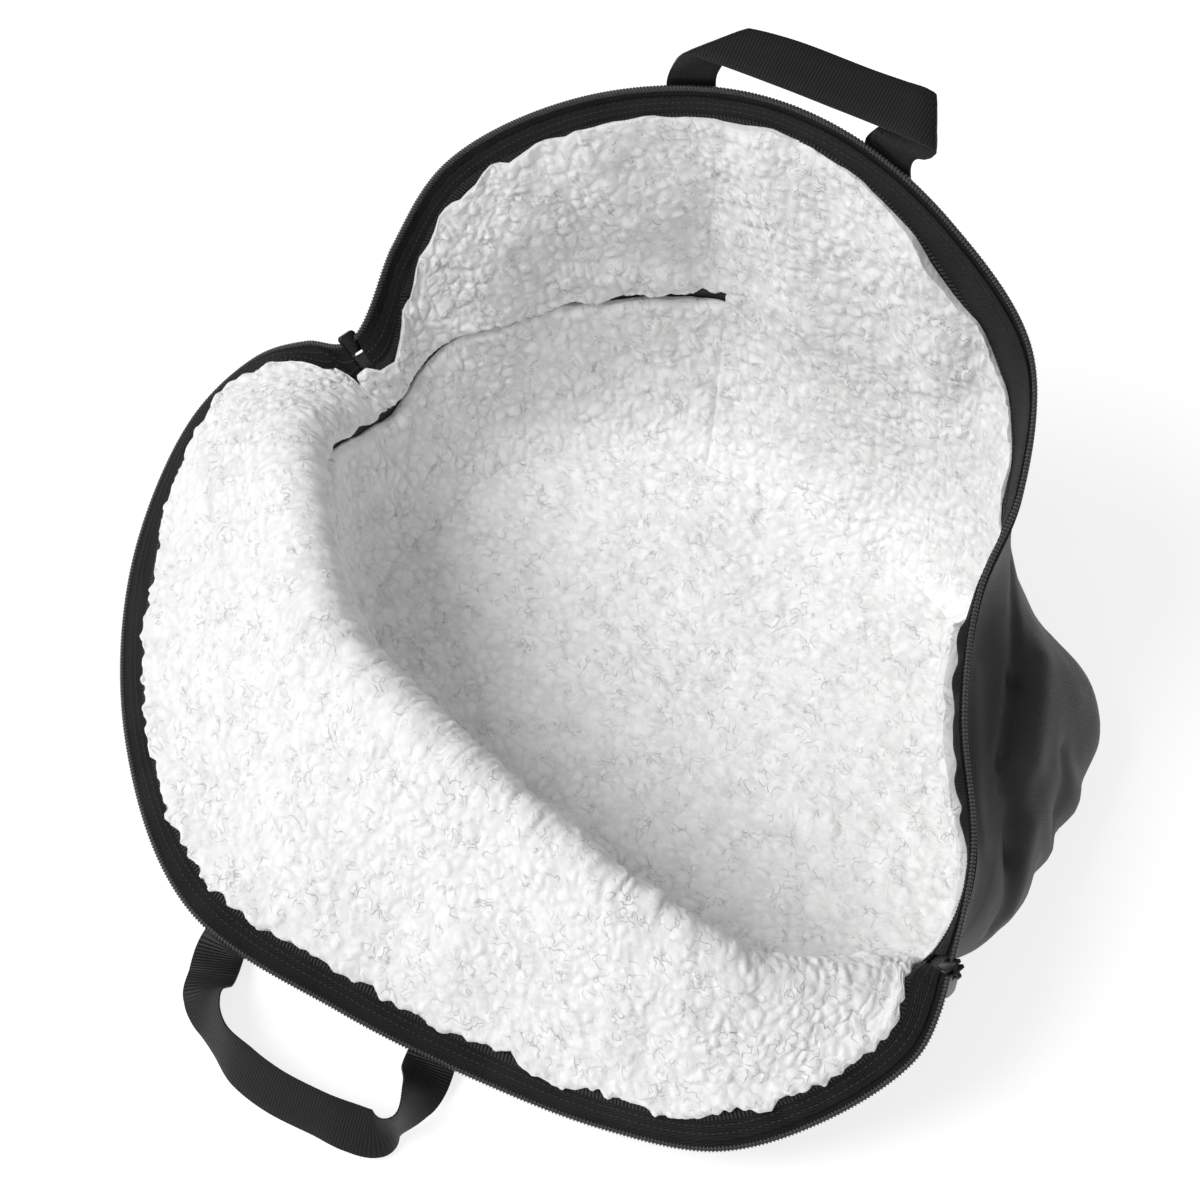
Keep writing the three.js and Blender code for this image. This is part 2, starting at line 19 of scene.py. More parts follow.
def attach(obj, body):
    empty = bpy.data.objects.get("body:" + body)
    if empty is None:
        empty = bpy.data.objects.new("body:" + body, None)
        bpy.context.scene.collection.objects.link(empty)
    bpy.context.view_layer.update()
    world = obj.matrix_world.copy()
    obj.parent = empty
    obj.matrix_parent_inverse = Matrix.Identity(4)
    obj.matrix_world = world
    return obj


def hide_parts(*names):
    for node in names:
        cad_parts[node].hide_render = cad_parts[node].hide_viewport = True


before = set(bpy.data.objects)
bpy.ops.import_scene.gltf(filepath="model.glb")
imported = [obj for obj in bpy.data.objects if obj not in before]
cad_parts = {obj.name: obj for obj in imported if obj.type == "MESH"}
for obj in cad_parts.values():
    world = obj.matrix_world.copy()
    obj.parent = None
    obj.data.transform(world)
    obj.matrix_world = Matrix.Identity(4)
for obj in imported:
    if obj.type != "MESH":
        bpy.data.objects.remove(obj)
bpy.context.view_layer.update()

LOG = logging.getLogger("helmet_bag")
MM = 0.001
Number = Union[float, "Sock"]


class Body(Enum):
    """The rigid bodies that pieces ride on."""

    BAG = "bag"
    PULL_LEFT = "pull_left"
    PULL_RIGHT = "pull_right"


class Side(Enum):
    """The two halves of the bag."""

    FRONT = "front"
    BACK = "back"


class Hold(Enum):
    """How a sheet of cloth is held."""

    FOLDED = "folded"
    GATHERED = "gathered"
    HUNG = "hung"
    LAID = "laid"
    STRETCHED = "stretched"


# Shader graphs


class Sock:
    """An output socket whose arithmetic adds Math nodes to its tree."""

    def __init__(self, tree: "Tree", socket: bpy.types.NodeSocket) -> None:
        """Keeps the tree and the socket."""
        self.tree = tree
        self.socket = socket

    def math(self, operation: str, *others: Number) -> "Sock":
        """Adds one Math node.

        Args:
            operation: the node's operation.
            others: its second and third values.

        Returns:
            The node's output.
        """
        values = dict(enumerate((self, *others)))
        return self.tree.node("ShaderNodeMath", {"operation": operation}, values)

    def __add__(self, other: Number) -> "Sock":
        """Adds."""
        return self.math("ADD", other)

    def __radd__(self, other: Number) -> "Sock":
        """Adds, from the right."""
        return self.math("ADD", other)

    def __sub__(self, other: Number) -> "Sock":
        """Takes away."""
        return self.math("SUBTRACT", other)

    def __rsub__(self, other: Number) -> "Sock":
        """Takes this from a number."""
        return (self * -1.0) + other

    def __mul__(self, other: Number) -> "Sock":
        """Multiplies."""
        return self.math("MULTIPLY", other)

    def __rmul__(self, other: Number) -> "Sock":
        """Multiplies, from the right."""
        return self.math("MULTIPLY", other)

    def clamped(self, low: float, high: float) -> "Sock":
        """Maps low to 0 and high to 1, and stops there."""
        values = {"Value": self, "From Min": low, "From Max": high}
        return self.tree.node("ShaderNodeMapRange", {"clamp": True}, values)


class Tree:
    """A material's node tree, with one method for every node."""

    def __init__(self, name: str) -> None:
        """Makes an empty material of that name."""
        self.material = bpy.data.materials.new(name)
        self.material.use_nodes = True
        self.nodes = self.material.node_tree.nodes
        self.links = self.material.node_tree.links
        self.nodes.clear()

    def node(
        self,
        kind: str,
        settings: Optional[dict[str, Any]] = None,
        inputs: Optional[dict[Union[str, int], Any]] = None,
        out: Union[str, int] = 0,
    ) -> Sock:
        """Adds a node.

        Args:
            kind: the node's type.
            settings: its properties, set before its sockets.
            inputs: values or links, by socket name or number.
            out: the output to return.

        Returns:
            The chosen output.
        """
        made = self.nodes.new(kind)
        for key, value in (settings or {}).items():
            setattr(made, key, value)
        for key, value in (inputs or {}).items():
            if isinstance(value, Sock):
                self.links.new(value.socket, made.inputs[key])
            else:
                made.inputs[key].default_value = value
        return Sock(self, made.outputs[out])

    def mix(self, amount: Number, low: Any, high: Any) -> Sock:
        """Mixes two colours.

        Args:
            amount: 0 for low and 1 for high.
            low: a colour or a link.
            high: a colour or a link.

        Returns:
            The mixed colour.
        """
        return self.node("ShaderNodeMix", {"data_type": "RGBA"}, {0: amount, 6: low, 7: high}, 2)

    def noise(self, where: Sock, scale: float, detail: float = 2.0, rough: float = 0.5) -> Sock:
        """A noise value at a scale given per metre."""
        inputs = {"Vector": where, "Scale": scale, "Detail": detail, "Roughness": rough}
        return self.node("ShaderNodeTexNoise", {}, inputs)

    def wave(self, along: Sock, pitch: float) -> Sock:
        """A sine from 0 to 1 along a length in metres."""
        return (along * (2.0 * math.pi / pitch)).math("SINE") * 0.5 + 0.5

    def principled(self, constants: dict[str, Any], linked: dict[str, Sock]) -> bpy.types.Material:
        """Closes the tree with a Principled shader.

        Args:
            constants: values that are the same all over.
            linked: what varies over the surface.

        Returns:
            The finished material.
        """
        shader = self.node("ShaderNodeBsdfPrincipled", {}, {**constants, **linked})
        self.node_output(shader)
        return self.material

    def node_output(self, shader: Sock) -> None:
        """Links a shader to the surface."""
        output = self.nodes.new("ShaderNodeOutputMaterial")
        self.links.new(shader.socket, output.inputs["Surface"])

    def bump(self, height: Sock, strength: float, distance: float) -> Sock:
        """Turns a height into a normal, with the distance in metres."""
        return self.node("ShaderNodeBump", {}, {"Strength": strength, "Distance": distance, "Height": height})

    def place(self) -> Sock:
        """The place on the object, in metres."""
        return self.node("ShaderNodeTexCoord", {}, {}, "Object")

    def pattern(self) -> tuple[Sock, Sock, Sock]:
        """The place on the flat pattern, in metres.

        Returns:
            The vector, along and up.
        """
        vector = self.node("ShaderNodeTexCoord", {}, {}, "UV")
        split = self.node("ShaderNodeSeparateXYZ", {}, {"Vector": vector}, "X")
        up = Sock(self, split.socket.node.outputs["Y"])
        return vector, split, up


def grey(value: float, warm: float = 0.0) -> tuple[float, float, float, float]:
    """A grey, a little warmer or cooler."""
    return (value * (1.0 + warm), value, value * (1.0 - warm), 1.0)


# Finishes


@dataclass(frozen=True)
class FleeceFinish:
    """Curly white pile: bright curls, with painted shade greying the fine lines and crevices between them."""

    name: str = "fleece_pile"
    # tuft is the fleece's own white; between is the grey of the painted shade in the crevices between tufts.
    tuft: float = 0.95
    between: float = 0.66
    bend_scale: float = 170.0
    bend: float = 0.0026
    curl_scale: float = 260.0
    line_scale: float = 200.0
    patch_scale: float = 110.0
    fibre_scale: float = 1500.0
    fibre_rough: float = 0.65
    line_edge: float = 0.026
    patch_low: float = 0.44
    patch_high: float = 0.66
    # Shares of painted shade from deep crevices and from crack lines, and of random fibre tone.
    crevice_shade_share: float = 0.55
    line_shade_share: float = 0.85
    fibre_share: float = 0.2
    curl_height: float = 0.33
    fibre_height: float = 0.08
    line_height: float = 0.3
    bump: float = 0.75
    relief: float = 0.002
    roughness: float = 0.95
    sheen: float = 0.1
    sheen_roughness: float = 0.6

    def build(self) -> bpy.types.Material:
        """Makes the material.

        Returns:
            The finished material.
        """
        tree = Tree(self.name)
        where = tree.place()
        drift = tree.node("ShaderNodeTexNoise", {}, {"Vector": where, "Scale": self.bend_scale}, "Color")
        amount = (self.bend, self.bend, self.bend)
        moved = {0: drift, 1: amount, 2: where}
        bent = tree.node("ShaderNodeVectorMath", {"operation": "MULTIPLY_ADD"}, moved)
        curl_inputs = {"Vector": bent, "Scale": self.curl_scale}
        curl = tree.node("ShaderNodeTexVoronoi", {"feature": "F1"}, curl_inputs, "Distance")
        away = (tree.noise(bent, self.line_scale, 1.0) - 0.5).math("ABSOLUTE")
        patch = tree.noise(where, self.patch_scale, 2.0).clamped(self.patch_low, self.patch_high)
        line = (1.0 - away.clamped(0.0, self.line_edge)) * patch
        fibre = tree.noise(where, self.fibre_scale, 3.0, self.fibre_rough)
        # Painted shade: the between attribute and the crack lines grey the colour where shade falls between
        # tufts; the fibre noise adds random tone.
        deep = tree.node("ShaderNodeAttribute", {"attribute_name": "between"}, {}, "Fac")
        shade = deep * self.crevice_shade_share + line * self.line_shade_share + (fibre - 0.5) * self.fibre_share
        shade = shade.clamped(0.0, 1.0)
        colour = tree.mix(shade, grey(self.tuft, 0.003), grey(self.between, 0.004))
        height = (1.0 - curl) * self.curl_height + fibre * self.fibre_height - line * self.line_height
        linked = {"Base Color": colour, "Normal": tree.bump(height, self.bump, self.relief)}
        sheen = {"Sheen Weight": self.sheen, "Sheen Roughness": self.sheen_roughness}
        return tree.principled({"Roughness": self.roughness, **sheen}, linked)


@dataclass(frozen=True)
class ClothFinish:
    """Black woven cloth with a slight sheen and a fine slanted weave."""

    name: str = "shell_weave"
    low: float = 0.01
    high: float = 0.048
    pitch: float = 0.0013
    roughness: float = 0.56
    slant: float = 0.62
    cross_slant: float = 0.55
    cross_pitch: float = 0.8
    worn_scale: float = 28.0
    speck_scale: float = 1500.0
    weave_share: float = 0.45
    worn_share: float = 0.5
    speck_share: float = 0.25
    tone_low: float = 0.15
    cool: float = -0.02
    rough_spread: float = 0.18
    weave_height: float = 0.7
    speck_height: float = 0.3
    bump: float = 0.5
    relief: float = 0.0003
    gloss: float = 0.4
    sheen: float = 0.03

    def build(self) -> bpy.types.Material:
        """Makes the material.

        Returns:
            The finished material.
        """
        tree = Tree(self.name)
        vector, along, up = tree.pattern()
        slant = tree.wave(along + up * self.slant, self.pitch)
        cross = tree.wave(along * self.cross_slant - up, self.pitch * self.cross_pitch)
        weave = slant * cross
        worn = tree.noise(vector, self.worn_scale, 4.0, 0.55)
        speck = tree.noise(vector, self.speck_scale, 1.0)
        tone = weave * self.weave_share + worn * self.worn_share + speck * self.speck_share
        tone = tone.clamped(self.tone_low, 1.0)
        colour = tree.mix(tone, grey(self.low, self.cool), grey(self.high, self.cool))
        rough = worn * self.rough_spread + (self.roughness - self.rough_spread / 2.0)
        height = weave * self.weave_height + speck * self.speck_height
        linked = {
            "Base Color": colour,
            "Roughness": rough,
            "Normal": tree.bump(height, self.bump, self.relief),
        }
        return tree.principled({"Specular IOR Level": self.gloss, "Sheen Weight": self.sheen}, linked)


@dataclass(frozen=True)
class TwillFinish:
    """Black twill tape: slanted ridges of yarn."""

    name: str = "tape_twill"
    low: float = 0.003
    high: float = 0.034
    pitch: float = 0.0016
    slant: float = 1.1
    yarn_slant: float = 0.9
    yarn_pitch: float = 0.45
    yarn_share: float = 0.3
    sway_scale: float = 160.0
    sway: float = 0.0012
    speck_scale: float = 1300.0
    worn_scale: float = 35.0
    twill_share: float = 0.5
    speck_share: float = 0.35
    worn_share: float = 0.5
    tone_low: float = 0.1
    rough_low: float = 0.62
    rough_spread: float = 0.2
    speck_height: float = 0.3
    bump: float = 0.8
    relief: float = 0.0004
    gloss: float = 0.15
    sheen: float = 0.02

    def build(self) -> bpy.types.Material:
        """Makes the material.

        Returns:
            The finished material.
        """
        tree = Tree(self.name)
        vector, along, up = tree.pattern()
        sway = tree.noise(vector, self.sway_scale, 2.0) * self.sway
        ridge = tree.wave(along + up * self.slant + sway, self.pitch)
        yarn = tree.wave(along * self.yarn_slant - up + sway, self.pitch * self.yarn_pitch)
        speck = tree.noise(vector, self.speck_scale, 2.0)
        worn = tree.noise(vector, self.worn_scale, 3.0)
        twill = ridge * (yarn * self.yarn_share + (1.0 - self.yarn_share))
        tone = twill * self.twill_share + speck * self.speck_share + (worn - 0.5) * self.worn_share
        tone = tone.clamped(self.tone_low, 1.0)
        linked = {
            "Base Color": tree.mix(tone, grey(self.low), grey(self.high)),
            "Roughness": speck * self.rough_spread + self.rough_low,
            "Normal": tree.bump(twill + speck * self.speck_height, self.bump, self.relief),
        }
        return tree.principled({"Specular IOR Level": self.gloss, "Sheen Weight": self.sheen}, linked)


@dataclass(frozen=True)
class WebbingFinish:
    """Ribbed black webbing: beads of yarn along each rib."""

    name: str = "webbing_rib"
    low: float = 0.0012
    high: float = 0.0135
    rib: float = 0.0015
    bead: float = 0.0009
    bead_share: float = 0.4
    speck_scale: float = 1100.0
    yarn_share: float = 0.8
    speck_share: float = 0.3
    tone_low: float = 0.05
    rough_low: float = 0.4
    rough_spread: float = 0.2
    speck_height: float = 0.2
    bump: float = 0.5
    relief: float = 0.0004
    gloss: float = 0.3
    sheen: float = 0.02

    def build(self) -> bpy.types.Material:
        """Makes the material.

        Returns:
            The finished material.
        """
        tree = Tree(self.name)
        vector, along, across = tree.pattern()
        rib = tree.wave(along, self.rib)
        bead = tree.wave(across, self.bead)
        speck = tree.noise(vector, self.speck_scale, 2.0)
        yarn = rib * (bead * self.bead_share + (1.0 - self.bead_share))
        tone = (yarn * self.yarn_share + speck * self.speck_share).clamped(self.tone_low, 1.0)
        colour = tree.mix(tone, grey(self.low), grey(self.high))
        linked = {
            "Base Color": colour,
            "Roughness": speck * self.rough_spread + self.rough_low,
            "Normal": tree.bump(yarn + speck * self.speck_height, self.bump, self.relief),
        }
        return tree.principled({"Specular IOR Level": self.gloss, "Sheen Weight": self.sheen}, linked)


@dataclass(frozen=True)
class PlainFinish:
    """A dark, lightly mottled finish for coil, thread and metal."""

    name: str
    low: float
    high: float
    roughness: float
    metallic: float = 0.0
    grain: float = 900.0
    tone_low: float = 0.3
    tone_high: float = 0.75
    rough_spread: float = 0.25
    rough_drop: float = 0.12
    bump: float = 0.15
    relief: float = 0.0002

    def build(self) -> bpy.types.Material:
        """Makes the material.

        Returns:
            The finished material.
        """
        tree = Tree(self.name)
        speck = tree.noise(tree.place(), self.grain, 3.0, 0.6)
        tone = speck.clamped(self.tone_low, self.tone_high)
        colour = tree.mix(tone, grey(self.low), grey(self.high))
        linked = {
            "Base Color": colour,
            "Roughness": speck * self.rough_spread + (self.roughness - self.rough_drop),
            "Normal": tree.bump(speck, self.bump, self.relief),
        }
        return tree.principled({"Metallic": self.metallic}, linked)


@dataclass(frozen=True)
class FloorFinish:
    """A plain pale floor."""

    name: str = "studio_floor"
    tone: float = 0.4
    shade: float = 0.99
    shade_scale: float = 3.0
    roughness: float = 0.9
    gloss: float = 0.1
    glow: float = 0.78

    def build(self) -> bpy.types.Material:
        """Makes the material.

        Returns:
            The finished material.
        """
        tree = Tree(self.name)
        shade = tree.noise(tree.place(), self.shade_scale, 2.0)
        colour = tree.mix(shade, grey(self.tone), grey(self.tone * self.shade))
        glow = {"Emission Color": (1.0, 1.0, 1.0, 1.0), "Emission Strength": self.glow}
        matt = {"Roughness": self.roughness, "Specular IOR Level": self.gloss}
        return tree.principled({**matt, **glow}, {"Base Color": colour})


@dataclass
class Finishes:
    """Every material, made once."""

    fleece: bpy.types.Material = field(default_factory=lambda: FleeceFinish().build())
    shell: bpy.types.Material = field(default_factory=lambda: ClothFinish().build())
    tape: bpy.types.Material = field(default_factory=lambda: TwillFinish().build())
    webbing: bpy.types.Material = field(default_factory=lambda: WebbingFinish().build())
    coil: bpy.types.Material = field(
        default_factory=lambda: PlainFinish("coil_nylon", 0.04, 0.09, 0.36).build()
    )
    thread: bpy.types.Material = field(
        default_factory=lambda: PlainFinish("black_thread", 0.008, 0.028, 0.6).build()
    )
    metal: bpy.types.Material = field(
        default_factory=lambda: PlainFinish("slider_black", 0.02, 0.06, 0.34, 0.85, 1600.0).build()
    )
    floor: bpy.types.Material = field(default_factory=lambda: FloorFinish().build())


# Grain for the tufts


class Salt(IntEnum):
    """Which noise shapes what."""

    PUCKER = 3
    RIPPLE = 5
    EDGE_WAVE = 11
    EDGE_RAG = 12
    GAPE = 13
    BEND = 20
    TUFT = 30
    CURL = 50
    SWELL = 60
    GROUP = 61
    DEEP = 62
    SPLIT = 63
    SPLIT_PATCH = 64
    CRIMP = 70
    SCALLOP = 71


class Grain:
    """Seeded noise on arrays of places."""

    @staticmethod
    def chance(cells: np.ndarray, salt: int) -> np.ndarray:
        """A fixed number from 0 to 1 for each whole cell.

        Args:
            cells: whole places, three to a row.
            salt: which set of numbers.

        Returns:
            One number a row.
        """
        mixed = cells[..., 0] * 374761393 + cells[..., 1] * 668265263 + cells[..., 2] * 1440662683
        mixed = (mixed + salt * 1013904223) & 0x7FFFFFFF
        mixed = ((mixed ^ (mixed >> 13)) * 1274126177) & 0x7FFFFFFF
        mixed = ((mixed ^ (mixed >> 15)) * 1597334677) & 0x7FFFFFFF
        return (mixed ^ (mixed >> 16)) / float(0x7FFFFFFF)

    @staticmethod
    def smooth(where: np.ndarray, salt: int) -> np.ndarray:
        """Soft noise from -1 to 1, with one lump to a unit.

        Args:
            where: places, three to a row.
            salt: which noise.

        Returns:
            One number a row.
        """
        base = np.floor(where).astype(np.int64)
        part = where - base
        part = part * part * (3.0 - 2.0 * part)
        total = np.zeros(len(where))
        for corner in np.ndindex(2, 2, 2):
            step = np.array(corner)
            weight = np.prod(np.where(step == 1, part, 1.0 - part), axis=1)
            total += weight * Grain.chance(base + step, salt)
        return total * 2.0 - 1.0

    @staticmethod
    def cells(where: np.ndarray, salt: int) -> tuple[np.ndarray, np.ndarray, np.ndarray]:
        """Rounded cells, one to a unit.

        Args:
            where: places, three to a row.
            salt: which set of cells.

        Returns:
            The distance to the nearest middle, to the next one, and the nearest cell's own number.
        """
        base = np.floor(where).astype(np.int64)
        first = np.full(len(where), 9.0)
        second = first.copy()
        own = np.zeros(len(where))
        for offset in np.ndindex(3, 3, 3):
            cell = base + (np.array(offset) - 1)
            middle = cell + np.stack([Grain.chance(cell, salt + k) for k in range(3)], axis=1)
            away = np.linalg.norm(where - middle, axis=1)
            nearer = away < first
            second = np.where(nearer, first, np.minimum(second, away))
            own = np.where(nearer, Grain.chance(cell, salt + 7), own)
            first = np.minimum(first, away)
        return first, second, own


# The bag's form


def cubic(before: np.ndarray, start: np.ndarray, end: np.ndarray, after: np.ndarray) -> np.ndarray:
    """The cubic of a centripetal Catmull-Rom stretch.

    Args:
        before: the points before the stretch.
        start: its starts.
        end: its ends.
        after: the points after it.

    Returns:
        Four coefficients, stacked before the last axis.
    """
    gaps = [
        np.maximum(np.linalg.norm(b - a, axis=-1, keepdims=True) ** 0.5, 1e-4)
        for a, b in ((before, start), (start, end), (end, after))
    ]
    one, two, three = gaps
    leave = (start - before) / one - (end - before) / (one + two) + (end - start) / two
    meet = (end - start) / two - (after - start) / (two + three) + (after - end) / three
    leave = leave * two
    meet = meet * two
    return np.stack(
        [start, leave, 3.0 * (end - start) - 2.0 * leave - meet, 2.0 * (start - end) + leave + meet], axis=-2
    )


def along_cubics(cubics: np.ndarray, part: np.ndarray) -> np.ndarray:
    """Points on cubics, one to a row, each at its own part."""
    powers = np.stack([np.ones_like(part), part, part**2, part**3], axis=-1)
    return np.einsum("...k,...kd->...d", powers, cubics)


def open_cubics(points: np.ndarray) -> np.ndarray:
    """The cubics of open curves whose points run along the last axis but one.

    Args:
        points: the points, with curves stacked before them.

    Returns:
        The cubics, one to a stretch.
    """
    head = 2.0 * points[..., :1, :] - points[..., 1:2, :]
    tail = 2.0 * points[..., -1:, :] - points[..., -2:-1, :]
    full = np.concatenate([head, points, tail], axis=-2)
    return cubic(full[..., :-3, :], full[..., 1:-2, :], full[..., 2:-1, :], full[..., 3:, :])


class Ring:
    """A closed curve round the bag, through one point to a section."""

    def __init__(self, points: np.ndarray) -> None:
        """Works out the curve's cubics."""
        self.cubics = cubic(np.roll(points, 1, 0), points, np.roll(points, -1, 0), np.roll(points, -2, 0))

    def at(self, turn: np.ndarray) -> np.ndarray:
        """Points at fractions of the way round.

        Args:
            turn: the fractions.

        Returns:
            The points, three to a row.
        """
        place = np.mod(turn, 1.0) * len(self.cubics)
        index = np.minimum(place.astype(int), len(self.cubics) - 1)
        return along_cubics(self.cubics[index], place - index)


class Profiles:
    """The wall's curve up from the base, at several places round the bag."""

    STEPS = 256

    def __init__(self, points: np.ndarray) -> None:
        """Measures each curve, so that it can be walked by length.

        Args:
            points: each curve's points.
        """
        self.cubics = open_cubics(points)
        self.pieces = self.cubics.shape[1]
        walk = np.linspace(0.0, 1.0, 201)
        spots = self.by_index(np.arange(len(points))[:, None], np.broadcast_to(walk, (len(points), 201)))
        steps = np.linalg.norm(np.diff(spots, axis=1), axis=-1)
        run = np.concatenate([np.zeros((len(points), 1)), np.cumsum(steps, axis=1)], axis=1)
        self.length = run[:, -1]
        even = np.linspace(0.0, 1.0, self.STEPS + 1)
        self.inverse = np.stack([np.interp(even * each[-1], each, walk) for each in run])

    def by_index(self, column: np.ndarray, part: np.ndarray) -> np.ndarray:
        """Points by curve number and curve parameter.

        Args:
            column: the curves' numbers.
            part: the parameters, 0 to 1.

        Returns:
            The points.
        """
        place = part * self.pieces
        piece = np.minimum(place.astype(int), self.pieces - 1)
        return along_cubics(self.cubics[column, piece], place - piece)

    def at(self, column: np.ndarray, part: np.ndarray) -> np.ndarray:
        """Points by curve number and fraction of its length.

        Args:
            column: the curves' numbers.
            part: the fractions, 0 to 1.

        Returns:
            The points.
        """
        place = np.clip(part, 0.0, 1.0) * self.STEPS
        low = np.minimum(place.astype(int), self.STEPS - 1)
        start = self.inverse[column, low]
        return self.by_index(column, start + (self.inverse[column, low + 1] - start) * (place - low))


def unit(vectors: np.ndarray) -> np.ndarray:
    """Vectors at length one."""
    return vectors / np.maximum(np.linalg.norm(vectors, axis=-1, keepdims=True), 1e-12)


@dataclass
class BagForm:
    """The outer face of the bag's wall, in millimetres.

    Sections go round by angle. A reach is out from the middle and a rise is up from the floor: the foot,
    the belly, the crest where the front half folds over, the apron below it and the rim of the zip.
    """

    heel_reach: float = 16.0
    heel_rise: float = 11.0
    least_slant: float = 0.5
    seam_limit: float = 0.72
    step_round: float = 0.001
    step_up: float = 0.004
    section_names: Sequence[str] = (
        "at", "foot", "belly_reach", "belly_rise", "crest_reach", "crest_rise",
        "apron_reach", "apron_rise", "rim_reach", "rim_rise", "seam_rise",
    )
    section_rows: Sequence[Sequence[float]] = (
        (0, 178, 188, 28, 198, 54, 206, 74, 215, 86, 56),
        (12, 199, 205, 32, 203, 61, 192, 85, 190, 107, 72),
        (28, 209, 213, 32, 196, 72, 157, 106, 157, 140, 84),
        (47, 220, 224, 34, 199, 80, 155, 120, 154, 160, 96),
        (60, 200, 202, 38, 186, 88, 172, 138, 175, 187, 104),
        (75, 187, 189, 42, 191, 102, 194, 164, 194, 223, 106),
        (92, 178, 186, 42, 189, 112, 188, 190, 184, 267, 106),
        (110, 170, 179, 42, 184, 116, 186, 204, 183, 286, 106),
        (128, 180, 193, 42, 202, 112, 200, 198, 193, 281, 106),
        (148, 190, 201, 40, 209, 102, 214, 180, 213, 250, 104),
        (164, 193, 204, 36, 215, 86, 230, 140, 240, 190, 92),
        (172, 190, 202, 32, 215, 66, 231, 102, 243, 136, 74),
        (180, 184, 197, 30, 209, 58, 221, 80, 235, 91, 58),
        (183, 184, 197, 32, 211, 66, 238, 80, 257, 77, 60),
        (187, 184, 196, 36, 213, 78, 250, 76, 279, 57, 66),
        (195, 184, 193, 46, 209, 96, 252, 72, 289, 37, 82),
        (211, 166, 165, 56, 174, 111, 230, 60, 280, 15, 92),
        (232, 134, 131, 60, 149, 118, 208, 57, 261, 8, 96),
        (254, 110, 107, 62, 124, 121, 186, 54, 245, 9, 98),
        (276, 104, 101, 62, 116, 121, 166, 56, 213, 10, 98),
        (296, 110, 107, 62, 120, 120, 164, 58, 205, 11, 98),
        (314, 132, 128, 58, 137, 115, 178, 59, 214, 13, 94),
        (328, 156, 151, 54, 158, 104, 197, 58, 230, 24, 86),
        (340, 172, 169, 46, 178, 84, 209, 62, 233, 40, 72),
        (351, 178, 181, 40, 192, 76, 214, 73, 232, 62, 64),
        (356, 178, 184, 34, 195, 66, 210, 76, 224, 75, 60),
    )
    fold_names: Sequence[str] = ("at", "wide", "low", "high", "depth")
    fold_rows: Sequence[Sequence[float]] = (
        (22, 6, 0.3, 0.75, 6),
        (25, 2.5, 0.02, 0.4, 4),
        (32, 2.5, 0.02, 0.45, 5),
        (40, 3, 0.02, 0.5, 5),
        (53, 5, 0.1, 0.5, -4),
        (68, 4, 0.3, 0.8, 5),
        (84, 7, 0.45, 0.95, -6),
        (131, 3.5, 0.36, 0.86, -5),
        (157, 6, 0.4, 0.9, 5),
        (204, 6, 0.6, 0.95, 6),
        (243, 8, 0.6, 0.95, -4),
        (286, 6, 0.6, 0.95, 4),
        (320, 4, 0.6, 0.95, -4),
    )

    def __post_init__(self) -> None:
        """Draws the rings that the sections give."""
        self.sections = [dict(zip(self.section_names, row)) for row in self.section_rows]
        self.folds = [dict(zip(self.fold_names, row)) for row in self.fold_rows]
        self.angles = np.array([row["at"] for row in self.sections] + [360.0])
        pairs = [("belly_reach", "belly_rise"), ("crest_reach", "crest_rise"),
                 ("apron_reach", "apron_rise"), ("rim_reach", "rim_rise")]
        self.rings = [
            self.ring(lambda row: (row["foot"] - self.heel_reach, 0.0)),
            self.ring(lambda row: (row["foot"], self.heel_rise)),
        ]
        for reach, rise in pairs:
            self.rings.append(self.ring(lambda row, a=reach, b=rise: (row[a], row[b])))
        self.seam_ring = self.ring(lambda row: (row["foot"], row["seam_rise"]))

    def ring(self, place: Callable[[dict[str, float]], tuple[float, float]]) -> Ring:
        """A ring through one place of every section.

        Args:
            place: gives a section's reach and rise.

        Returns:
            The closed curve.
        """
        points = []
        for row in self.sections:
            reach, rise = place(row)
            turn = math.radians(row["at"])
            points.append((reach * math.cos(turn), reach * math.sin(turn), rise))
        return Ring(np.array(points))

    def turn_at(self, angle: Union[float, np.ndarray]) -> Union[float, np.ndarray]:
        """The fraction of the way round that an angle falls at."""
        return np.interp(angle, self.angles, np.arange(len(self.angles)) / len(self.sections))

    def profiles(self, turns: np.ndarray) -> Profiles:
        """The wall's curves at fractions of the way round."""
        return Profiles(np.stack([each.at(turns) for each in self.rings], axis=1))

    def fold_depth(self, turns: np.ndarray, part: np.ndarray) -> np.ndarray:
        """How far the folds and dents push the wall in.

        Args:
            turns: fractions of the way round.
            part: fractions of the way up.

        Returns:
            Depths in millimetres.
        """
        crest = self.rings[3].at(turns)
        angle = np.mod(np.degrees(np.arctan2(crest[:, 1], crest[:, 0])), 360.0)
        depth = np.zeros(len(turns))
        for fold in self.folds:
            away = (angle - fold["at"]) / fold["wide"]
            rise = np.clip((part - fold["low"]) / (fold["high"] - fold["low"]), 0.0, 1.0)
            near = np.where(np.abs(away) < 3.0, fold["depth"] * np.exp(-away**2), 0.0)
            depth += near * np.sin(np.pi * rise) ** 2
        return depth

    def lengths(self, turns: np.ndarray) -> np.ndarray:
        """The wall's length from the base to the rim."""
        return self.profiles(turns).length

    def slant(self, turns: np.ndarray) -> np.ndarray:
        """How squarely the rim crosses the wall: 1 where it is square.

        Args:
            turns: fractions of the way round.

        Returns:
            One number a place.
        """
        step = self.step_round * 0.2
        rim = unit(self.rings[-1].at(turns + step) - self.rings[-1].at(turns - step))
        curves = self.profiles(turns)
        column = np.arange(len(turns))
        top = np.ones(len(turns))
        up = unit(curves.at(column, top) - curves.at(column, top - 0.004))
        return np.linalg.norm(np.cross(rim, up), axis=1)

    def dropped(self, turns: np.ndarray, drop: Union[float, np.ndarray]) -> np.ndarray:
        """The length up the wall at a drop from the rim, square to the rim."""
        return self.lengths(turns) - drop / np.maximum(self.slant(turns), self.least_slant)

